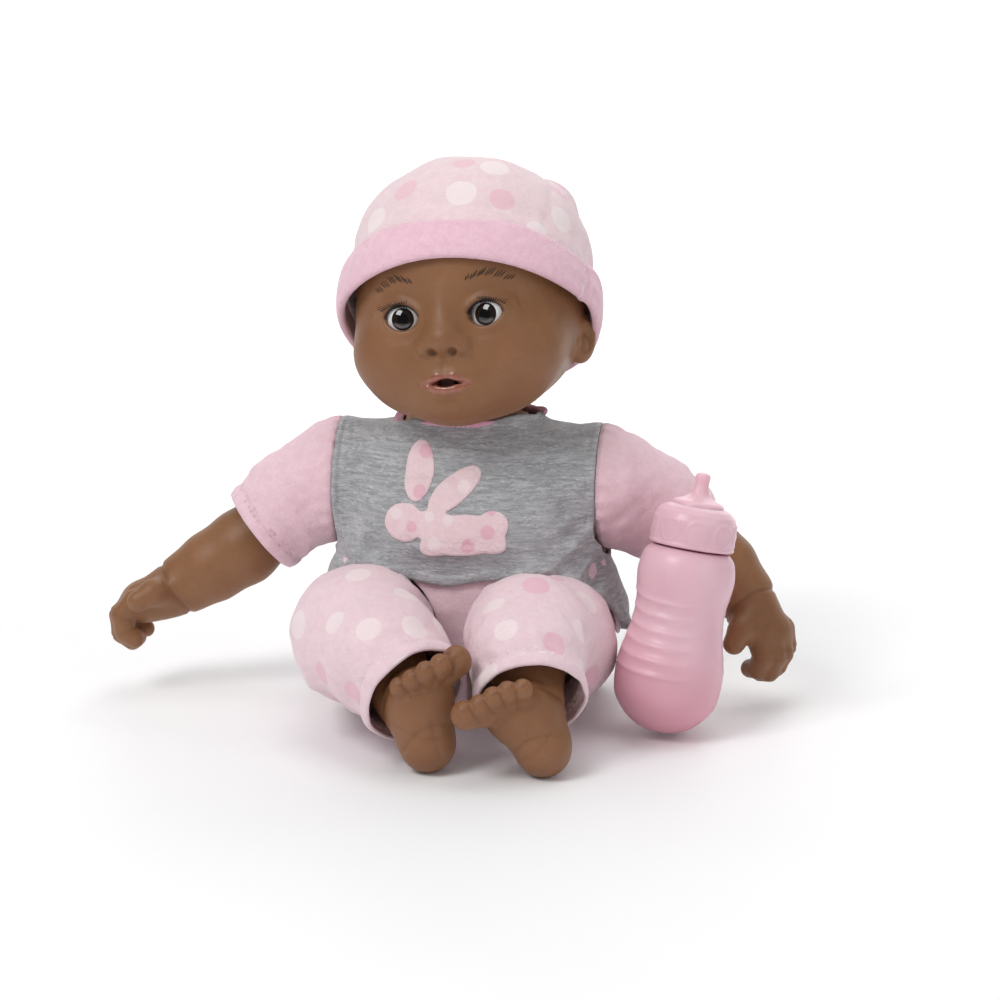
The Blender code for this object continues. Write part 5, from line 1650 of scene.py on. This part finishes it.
def trouser_leg(side, sign):
    path = LEG_PATH[side]
    along = unit(path[4] - path[3])
    tip = path[4] + along * 0.5
    line, radii = path + [path[4] + along * 12], LEG_RADII[side] + [18.6]
    folds = [(spline(crease), width, rise) for crease, width, rise in LEG_FOLDS[side]]

    def near_cuff(pts, reach=34):
        return length(pts - tip) < reach

    def base(pts):
        return tube(pts, line, radii, 7)

    def field(pts):
        height = 0.5 * wobble(pts, 26, 21 + sign) + 0.22 * wobble(pts, 10, 23)
        for crease, width, rise in folds:
            dip = fold(pts, crease + vec(0, -width * 1.9, 0), width, 1.0)
            height = height + 1.3 * fold(pts, crease, width, rise) - 0.5 * rise * dip
        height = height - 0.4
        dist = base(pts) - height * ease(-pts[:, 1], 4, 22)
        t = (pts - tip) @ along
        dist = dist - (0.5 * bell(t + 3.0, 2.4) - 0.45 * bell(t + 6.6, 0.75)) * near_cuff(pts)
        return smax(dist, 0.6 - pts[:, 2], 1.5)

    def trim(pts):
        return np.where(near_cuff(pts), (pts - tip) @ along, -5)

    def held(pts):
        cuff_held = ease((pts - tip) @ along, -9, -4) * near_cuff(pts)
        return np.maximum(ease(pts[:, 1], -36, -24), cuff_held)

    bounds = box(path, 33)
    move = drape(field, trim, bounds, 3.0, held, cap=1.6, grow=0.06)
    verts, quads, rest = sheet(field, trim, bounds, 1.5, 1.4, move)
    verts = tucked(verts)
    t = (verts - tip) @ along
    near = near_cuff(verts, 32)
    across = unit(np.cross(along, (1, 0, 0)))
    run = 50 * np.arctan2((verts - tip) @ across, (verts - tip) @ np.cross(along, across))
    stitch = (stitches(t + 4.9, 0.38, run) + 0.8 * stitches(t + 7.2, 0.36, run + 1)) * near
    spread = scatter(base, box(path, 26), 17.0, 31 + sign)
    piece = make("trouser_leg_" + side, verts, quads, PANTS_COTTON, dp=dots(rest, spread[::2]),
                 dw=dots(rest, spread[1::2]), seam=0.35 * bell(t + 6.2, 1.0) * near,
                 stitch=stitch)
    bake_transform(piece)
    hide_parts("pants_leg_" + side)


# ---------------------------------------------------------------- shins and feet
SHIN_RADII = [12.2, 12.8, 13.2, 12.2]
FEET = {   # heel and ball: centre, radii; line between them; toes from the smallest: centre, radius
    "right": (((-1.0, -99.5, 10.6), (9.6, 9.6, 10.2)), ((-3.2, -101.5, 29.0), (12.4, 7.6, 11.6)),
              [(-1.2, -99.5, 12), (-2.8, -100.5, 27)],
              [((-9.9, -107.4, 33.6), 3.5), ((-4.9, -108.9, 37.0), 3.6), ((0.2, -109.4, 40.2), 3.75),
               ((5.4, -108.0, 42.6), 3.9), ((10.2, -101.5, 42.6), 5.3)]),
    "left": (((42.0, -99.5, 10.6), (9.6, 9.6, 10.2)), ((32.5, -102.0, 24.5), (12.8, 7.8, 11.2)),
             [(41.0, -99.5, 12), (34.0, -101, 24)],
             [((35.6, -110.0, 35.4), 3.5), ((30.3, -111.2, 34.6), 3.6), ((25.2, -112.2, 32.4), 3.75),
              ((20.5, -113.0, 29.4), 3.9), ((15.0, -113.6, 26.0), 4.9)]),
}


def foot(side):
    path = LEG_PATH[side]
    knee = path[2]
    below = unit(path[2] - path[1])
    ankle = path[4] + vec(0.5, -1.0, -6.0)
    shin = [knee + below * 1.9, knee + below * 10.0, path[3] + vec(0, 0, -2), ankle]
    (heel, heel_radii), (ball, ball_radii), arch, toes = FEET[side]
    heel, ball = vec(*heel), vec(*ball)
    toes = [(vec(*centre), radius) for centre, radius in toes]
    up = unit(ball - heel)
    across = unit(toes[4][0] - toes[0][0])

    def on_sole(pts):
        """Offsets across and up the foot from the ball, and 1 on the sole."""
        offset = pts - ball
        return offset @ across, offset @ up, ease(-(pts[:, 1] - (ball[1] - 1)), 0, 5)

    def field(pts):
        dist = tube(pts, shin, SHIN_RADII, 4)
        dist = smax(dist, -((pts - knee - below * 1.9) @ below), 0.8)
        dist = smin(dist, oval(pts, heel, heel_radii), 6)
        dist = smin(dist, tube(pts, arch, [9.2, 9.4]), 5)
        dist = smin(dist, oval(pts, ball, ball_radii), 5)
        all_toes = None
        for centre, radius in toes:
            root = centre + (ball - centre) * 0.45
            toe = tube(pts, [root, centre], [radius * 0.92, radius])
            pad = (radius * 1.02, radius * 0.98, radius * 1.08)
            toe = smin(toe, oval(pts, centre + vec(0, -0.7, 0.9), pad), 1.0)
            all_toes = toe if all_toes is None else smin(all_toes, toe, 0.55)
        dist = smin(dist, all_toes, 1.5)
        # creases on the sole and at the ankle
        u, w, sole = on_sole(pts)
        dist = dist + sole * (0.45 * bell(w + 8.2 + 0.05 * u * u, 0.9)
                              + 0.32 * bell(w + 13.5 - 0.03 * u * u + 0.1 * u, 0.7)
                              + 0.28 * bell(u - 1.5 - 0.2 * w, 0.9) * ease(-w, 2, 8))
        from_ankle = (pts - ankle) @ unit(shin[3] - shin[2])
        dist = dist + 0.5 * bell(from_ankle + 3.0, 1.2) * (length(pts - ankle) < 17)
        for centre, radius in toes:   # nails
            nail = (radius * 0.50, radius * 0.50, radius * 0.38)
            middle = centre + vec(0, -radius * 0.42, radius * 0.80)
            dist = smin(dist, oval(pts, middle, nail), 0.22)
        # spigot into the thigh
        t = (pts - knee) @ below
        spigot = np.maximum(length((pts - knee) - t[:, None] * below) - 8.6,
                            np.abs(t + 1.5) - 7.5)
        dist = smin(dist, spigot, 0.4)
        return smax(dist, 0.4 - pts[:, 2], 0.6)

    bounds = box([*shin, heel, ball] + [centre for centre, _ in toes], 16)
    verts, quads = solid(field, bounds, 0.9, 300)
    u, w, sole = on_sole(verts)
    shade = 0.35 * sole * np.maximum(bell(w + 8.2 + 0.05 * u * u, 0.8),
                                     0.8 * bell(w + 13.5 - 0.03 * u * u + 0.1 * u, 0.6))
    for (toe_a, radius_a), (toe_b, radius_b) in zip(toes[:-1], toes[1:]):   # between the toes
        middle = (toe_a * radius_b + toe_b * radius_a) / (radius_a + radius_b)
        line = bell((verts - middle) @ unit(toe_b - toe_a), 0.55)
        shade = np.maximum(shade, 0.5 * line * (length(verts - middle) < 5.4))
    for centre, radius in toes:   # round the nails
        away = length(verts - centre - vec(0, -radius * 0.55, radius * 0.95))
        shade = np.maximum(shade, 0.5 * bell(away - radius * 0.52, 0.3))
    piece = make("vinyl_foot_" + side, verts, quads, SKIN, lip=9.0, shade=shade, blush=sole * 0.5)
    fit(piece, "leg_" + side, "lower_leg_" + side)


for side, sign in SIDES:
    trouser_leg(side, sign)
    foot(side)

# ---------------------------------------------------------------- trouser seat and stuffed torso
TORSO = np.array([   # z, half width, half depth, y of the middle
    (0.3, 47, 31, 4), (2.4, 50, 34, 4), (8, 54.5, 37.5, 3.5), (25, 55.5, 39.5, 2.5),
    (45, 53.5, 39.6, 2), (62, 49.5, 38, 1.5), (80, 47.2, 35, 1.5), (95, 44.6, 30, 1.5),
    (102.5, 39, 25, 1), (106.5, 33, 20.4, 0.5), (108, 29, 18, 0.5)], float)
CASE_Z = 67.6   # middle of the recess for the case in the tummy


def leg_space(pts, grow):
    """The room both legs take up, with a block behind each thigh."""
    x, y, z = pts.T
    dist = None
    for side, sign in SIDES:
        path = LEG_PATH[side]
        leg = tube(pts, path[:4], [radius + grow for radius in LEG_RADII[side][:4]])
        block = np.maximum(3.6 - sign * x, y - (path[0][1] + 26 + grow))
        leg = np.minimum(leg, np.maximum(block, z - path[0][2]))
        dist = leg if dist is None else np.minimum(dist, leg)
    return dist


def seat_base(pts):
    return body_dist(pts, TORSO, 2.5) - 1.9


def seat():
    def field(pts):
        height = 0.4 * wobble(pts, 24, 41) + 0.2 * wobble(pts, 9, 43)
        dist = seat_base(pts) - height * ease(pts[:, 2], 3, 12)
        return smax(dist, 0.15 - pts[:, 2], 2.0)

    def trim(pts):
        return np.maximum(pts[:, 2] - 60, -leg_space(pts, 1.9))

    def dot_rows(first, heights):
        """Dots round the back at each height, from the angle first in degrees."""
        return snap([(60 * math.sin(turn), 44 * math.cos(turn) + 3, z, 6.0)
                     for turn in np.radians(np.arange(first, 101, 28)) for z in heights],
                    seat_base)

    verts, quads, _ = sheet(field, trim, ((-64, -46, -3), (66, 54, 66)), 1.6, 1.3)
    x, y, z = verts.T
    seam = 0.6 * bell(x - BODY_X, 0.8) * (y > 10) + 0.4 * bell(z - 54.5, 0.8)
    piece = make("trouser_seat", verts, quads, PANTS_COTTON,
                 dp=dots(verts, dot_rows(-100, (16, 42))), dw=dots(verts, dot_rows(-86, (29, 54))),
                 seam=seam, stitch=stitches(z - 56, 0.4, body_angle(verts) * 70, -0.3))
    fit(piece, "torso", "pants_seat")


def torso_field(pts):
    x, y, z = pts.T
    dist = body_dist(pts, TORSO, 2.5) + 1.2
    dist = dist - 0.6 * wobble(pts, 22, 61) * ease(z, 4, 14)
    # seams down the back and the sides
    from_side = np.abs(np.abs(body_angle(pts)) - 1.57) * 30
    dist = dist + 0.9 * bell(np.abs(x - BODY_X), 1.3) * (y > 0) + 0.9 * bell(from_side, 1.6)
    # floor, and room for legs, shoulders, neck and jaw
    dist = smax(dist, 2.0 - z, 1.5)
    dist = smax(dist, -leg_space(pts, 2.2), 0.8)
    for side, _ in SIDES:
        dist = smax(dist, -(length(pts - SHOULDER[side]) - 24.6), 0.8)
    dist = smax(dist, -(length(pts - NECK) - 21.2), 0.8)
    high = z > 94
    jaw = clear_jaw(pts[high], JAW_POSES + ((3, -40), (3, 0))) + 0.8
    dist[high] = smax(dist[high], jaw, 0.8)
    # recess for the case, open at the back, and a round hole forward of it
    case = np.maximum(np.abs(x - BODY_X) - 30.9, np.abs(z - CASE_Z) - 13.4)
    dist = smax(dist, -np.maximum(case, -3.6 - y), 0.6)
    hole = np.sqrt((x - BODY_X) ** 2 + (z - CASE_Z) ** 2) - 13.1
    return smax(dist, -np.maximum(hole, np.maximum(-30.4 - y, y - 2)), 0.5)


seat()
fit(make("stuffed_torso", *solid(torso_field, ((-60, -42, 0), (62, 46, 112)), 1.9, 300),
         BODY_CLOTH), "torso", "torso_cushion")


# ---------------------------------------------------------------- stuffed limbs and neck
def upper_arm(side):
    """A stuffed cloth tube with gathers at both ends and a lengthwise seam."""
    along = arm_along(side)
    start, end = SHOULDER[side] + along * 13.4, SHOULDER[side] + along * 25.2
    start_radius, end_radius, bore = 12.5, 12.2, 9.1
    along = unit(end - start)
    long = np.linalg.norm(end - start)
    u = unit(np.cross(along, (0.2, 1, 0.1)))
    w = np.cross(along, u)

    def field(pts):
        offset = pts - start
        t, x, y = offset @ along, offset @ u, offset @ w
        radius = np.sqrt(x * x + y * y)
        angle = np.arctan2(y, x)
        skin = start_radius + (end_radius - start_radius) * np.clip(t / long, 0, 1)
        ends = bell(t - 1, 3) + bell(t - long + 1, 3)
        skin = (skin - 0.45 * np.cos(angle * 16) * ends * 0.5
                - 0.6 * bell(np.abs(angle) * 14, 0.9) - 0.25 * wobble(pts, 9, 70))
        dist = smax(radius - skin, np.abs(t - long / 2) - long / 2, 2.2)
        return smax(dist, bore - radius, 0.6)

    mesh = solid(field, box([start, end], start_radius + 3), 1.1, 100)
    fit(make("upper_arm_stuffed_" + side, *mesh, BODY_CLOTH),
        "arm_" + side, "upper_arm_cloth_" + side)


def shoulder_ball(side):
    """A gathered cloth ball."""
    centre = SHOULDER[side]

    def field(pts):
        x, y, z = (pts - centre).T
        gathers = 0.35 * np.cos(np.arctan2(z, y) * 14) * bell(np.abs(x) - 10, 4)
        return length(pts - centre) - 12.2 + gathers + 0.5 * bell(y, 0.9)

    fit(make("shoulder_gather_" + side, *net(field, box([centre], 14), 1.1), BODY_CLOTH),
        "shoulder_link_" + side, "shoulder_gusset_" + side)


def thigh(side):
    """Stuffed cloth, drawn in under the cable tie by the knee."""
    path = LEG_PATH[side][:3]
    knee = path[2]
    along = unit(knee - path[1])
    tie = knee - along * 4.0

    def field(pts):
        dist = tube(pts, [path[0], path[1], knee - along * 5], [22.9, 20.7, 17.4], 5)
        offset = pts - tie
        t = offset @ along
        radius = length(offset - t[:, None] * along)
        angle = np.arctan2(offset[:, 0], offset[:, 2])
        drawn_in = smax(dist, radius - 17.2 - 0.5 * np.cos(angle * 18) * bell(t, 5), 2)
        dist = np.where(length(offset) < 26, drawn_in, dist)
        dist = dist - 0.4 * wobble(pts, 14, 77)
        past_knee = (pts - knee) @ along
        dist = smax(dist, past_knee, 1.2)
        return smax(dist, np.where(past_knee > -12.2, 9.5 - radius, -9), 0.5)

    fit(make("thigh_stuffed_" + side, *solid(field, box(path, 26), 1.6, 100), BODY_CLOTH),
        "leg_" + side, "thigh_cloth_" + side)


def neck_field(pts):
    """Gathered cloth ball round the head's stem, open above and below."""
    offset = (pts - NECK) @ HEAD_TURN
    x, y, z = offset.T
    gathers = 0.45 * np.cos(np.arctan2(y, x) * 22) * (bell(z - 9.5, 4) + bell(z + 9.5, 4))
    dist = length(offset) - 19.7 + gathers - 0.15 * wobble(pts, 8, 5)
    dist = smax(dist, np.abs(z - 0.15) - 10.1, 1.0)
    return smax(dist, 14.5 - np.sqrt(x ** 2 + y ** 2), 0.5)


for side, _ in SIDES:
    upper_arm(side)
    shoulder_ball(side)
    thigh(side)
fit(make("neck_gather", *solid(neck_field, box([NECK], 23), 1.0, 100), BODY_CLOTH),
    "neck", "neck_cloth")

# ---------------------------------------------------------------- feeding bottle
# in its own axes, z from the foot to the teat
VIEW_TURN = math.radians(8)   # the camera stands this far to the doll's left
BOTTLE_UP = unit(vec(0.14, 0.17, 0.944))
BOTTLE_TURN = np.array(Vector(BOTTLE_UP).to_track_quat("Z", "Y").to_matrix(), float)
BOTTLE = BOTTLE_TURN, vec(81.8, -41.0, 21.4)
# the side towards the camera, as an angle about the bottle's axis
to_view = vec(math.sin(VIEW_TURN), -math.cos(VIEW_TURN), 0) @ BOTTLE_TURN
VIEW_ANGLE = math.atan2(to_view[1], to_view[0])
PROFILE = spline([   # radius, z
    (0.0, -20.2), (9.0, -19.0), (15.5, -14.5), (19.3, -7.5), (20.4, 0.0), (20.2, 7.0),
    (18.6, 15.0), (17.2, 23.0), (17.2, 30.0), (18.3, 37.0), (18.5, 42.0), (17.4, 47.4),
    (15.4, 50.2), (14.2, 51.2)], 6)
RIB_PANEL, RIB_HALF, RIB_PITCH = -0.62, 1.12, 5.5   # panel angle and half width, and mm
COLLAR_Z = [51.3, 52.2, 53.4, 62.0, 64.4, 66.2, 67.4]
COLLAR_R = [15.4, 16.1, 15.9, 15.7, 14.8, 12.9, 10.7]
BORE_Z, BORE_R = [51.0, 62.0, 64.6, 65.8], [13.6, 13.4, 11.6, 8.0]
MEDALLIONS = 9
TEAT = spline([   # radius, z
    (0.0, 64.6), (10.0, 64.6), (10.0, 67.2), (9.2, 68.8), (6.6, 69.8), (4.0, 71.4), (3.0, 73.4),
    (2.6, 76.0), (2.9, 78.2), (2.2, 79.6), (0.0, 80.2)], 5)
TEAT = np.vstack([TEAT, [(-3, 80.2), (-3, 64.6), (0, 64.6)]])


def polar(pts):
    """Radius, angle from the camera's side, and height."""
    x, y, z = pts.T
    return np.sqrt(x ** 2 + y ** 2), np.arctan2(y, x) - VIEW_ANGLE, z


def bottle_field(pts):
    """Hollow shell with a ribbed panel on two opposite sides."""
    radius, angle, z = polar(pts)
    wall = np.interp(z, PROFILE[:, 1], PROFILE[:, 0])
    angle = wrap(angle)
    for panel in (RIB_PANEL, RIB_PANEL + math.pi):
        turn = wrap(angle - panel)
        window = ease(RIB_HALF - np.abs(turn), 0, 0.45)
        level = z - 20.5 + 2.6 * np.cos(turn * 1.35) - 1.5 + 1.3 * turn
        rib = ((0.5 + 0.5 * np.cos(2 * math.pi * level / RIB_PITCH)) ** 2.5
               * ease(level, -19.3, -16.5) * ease(-level, -13.7, -11.0))
        wall = wall + 0.8 * window * rib
    # the side, and an oval for the round foot
    low = ease(-z, 6.5, 11.5)
    dist = (radius - wall) * 0.86 * (1 - low) + oval(pts, (0, 0, 0.4), (20.6, 20.6, 20.6)) * low
    dist = smax(dist, -19.9 - z, 1.2)
    dist = smax(dist, z - 50.9, 0.8)
    inner = ((radius - (wall - 3.0)) * (1 - low)
             + oval(pts, (0, 0, 0.4), (17.6, 17.6, 17.2)) * low)
    return smax(dist, -inner, 0.4)


def collar_field(pts):
    """Ring with raised medallions."""
    radius, angle, z = polar(pts)
    wall = np.interp(z, COLLAR_Z, COLLAR_R)
    step = 2 * math.pi / MEDALLIONS
    turn = (angle + step / 2) % step - step / 2
    away = np.sqrt((turn * 16.7) ** 2 + (z - 58.0) ** 2)
    wall = (wall + 0.42 * bell(away - 4.1, 0.55) + 0.30 * ease(3.6 - away, 0, 0.8)
            + 0.30 * bell(away, 1.0))
    wall = wall + 0.25 * bell(z - 52.4, 0.7)
    dist = smax((radius - wall) * 0.9, 51.45 - z, 0.6)
    dist = smax(dist, z - 67.3, 0.8)
    return smax(dist, np.interp(z, BORE_Z, BORE_R) - radius, 0.4)


def teat_field(pts):
    radius, _, z = polar(pts)
    return outline_dist(np.stack([radius, z], 1), TEAT) - 0.05


SHELL_PLASTIC = bottle_mat("bottle_pink_plastic", deep=True)
TEAT_PLASTIC = bottle_mat("bottle_pink_collar", deep=False)
for name, field, bounds, cell, plastic, node in (
        ("bottle_shell", bottle_field, ((-24, -24, -23), (24, 24, 54)), 0.95,
         SHELL_PLASTIC, "bottle_body"),
        ("bottle_collar_ring", collar_field, ((-20, -20, 49), (20, 20, 70)), 0.6,
         TEAT_PLASTIC, "bottle_collar"),
        ("bottle_teat", teat_field, ((-13, -13, 62), (13, 13, 83)), 0.55,
         TEAT_PLASTIC, "bottle_nipple")):
    fit(make(name, *solid(field, bounds, cell, 300), plastic, BOTTLE),
        "bottle", node)

# ---------------------------------------------------------------- finishes of the fixed parts
FINISHES = (
    (WHITE, "case_front case_back battery_door tummy_button eye_housing_left eye_housing_right "
            "mouth_guide"),
    (BLACK, "speaker tummy_switch power_slider mouth_switch"),
    (STEEL, "door_screw battery_contact_left battery_contact_right button_spring"),
    (NYLON, "neck_tie arm_tie_left arm_tie_right leg_tie_left leg_tie_right"),
    (BATTERY, "battery_1 battery_2"),
    (BOARD, "circuit_board"),
    (MOUTH, "mouth_plunger"),
)
finish_of = {name: finish for finish, names in FINISHES for name in names.split()}
for name, node in NODES.items():
    vinyl = "head" in name or "lower" in name or "forearm" in name
    node.data.materials.clear()
    node.data.materials.append(finish_of.get(name, INNER_SKIN if vinyl else INNER_CLOTH))


# ---------------------------------------------------------------- floor, light, camera
def floor_sweep():
    """A floor that curves up into a wall behind the doll; profile rows are y, z."""
    half, bend_y, bend = 3200, 500, 900
    profile = [(-2600, 0), (bend_y, 0)]
    profile += [(bend_y + bend * math.sin(turn), bend * (1 - math.cos(turn)))
                for turn in np.radians(np.arange(8, 91, 8))]
    profile += [(bend_y + bend, 3200)]
    rows = [[(-half, y, z), (half, y, z)] for y, z in profile]
    make("floor_sweep", *grid_mesh(rows, closed=False), floor_mat())


def area(name, place, look_at, size, power, size_y=None):
    light = bpy.data.lights.new(name, "AREA")
    light.energy = power
    light.size = size
    if size_y:
        light.shape = "RECTANGLE"
        light.size_y = size_y
    lamp = bpy.data.objects.new(name, light)
    lamp.location = place
    aim = Vector(look_at) - Vector(place)
    lamp.rotation_euler = aim.to_track_quat("-Z", "Y").to_euler()
    bpy.context.scene.collection.objects.link(lamp)


def studio_world():
    """White surroundings that shiny pieces see darker, so they keep their contrast."""
    strength, glossy_drop = 0.46, -0.36
    world = bpy.data.worlds.new("studio")
    world.use_nodes = True
    tree = world.node_tree
    background = tree.nodes["Background"]
    background.inputs[0].default_value = (1, 1, 1, 1)
    rays = tree.nodes.new("ShaderNodeLightPath")
    dim = tree.nodes.new("ShaderNodeMath")
    dim.operation = "MULTIPLY_ADD"
    dim.inputs[1].default_value = glossy_drop
    dim.inputs[2].default_value = strength
    tree.links.new(rays.outputs["Is Glossy Ray"], dim.inputs[0])
    tree.links.new(dim.outputs[0], background.inputs[1])
    bpy.context.scene.world = world


def camera():
    lens = bpy.data.cameras.new("camera")
    view = bpy.data.objects.new("camera", lens)
    bpy.context.scene.collection.objects.link(view)
    lens.lens = 120
    lens.sensor_width = 36
    rise = math.radians(13)
    back = Vector((math.sin(VIEW_TURN) * math.cos(rise), -math.cos(VIEW_TURN) * math.cos(rise),
                   math.sin(rise)))
    target, away = Vector((0.0118, 0, 0.080)), 1.3
    view.location = target + back * away
    view.rotation_mode = "QUATERNION"
    view.rotation_quaternion = (-back).to_track_quat("-Z", "Y")
    lens.clip_start, lens.clip_end = 0.01, 50
    bpy.context.scene.camera = view


floor_sweep()
# places in metres, power in watts
area("key", (-0.70, -0.95, 1.25), look_at=(0, 0, 0.10), size=0.62, power=11.0)
area("fill", (1.25, -0.85, 0.75), look_at=(0, 0, 0.10), size=0.9, power=2.5)
area("top", (0.1, 0.10, 1.6), look_at=(0, 0, 0.05), size=0.9, power=4.5)
area("back", (0.3, 1.0, 1.2), look_at=(0, 0, 0.12), size=0.7, power=2.5)
area("wash", (0, 0.6, 0.95), look_at=(0, 1.4, 0.5), size=1.2, power=8.0, size_y=0.4)
studio_world()
camera()
bpy.context.scene.view_settings.view_transform = "Standard"
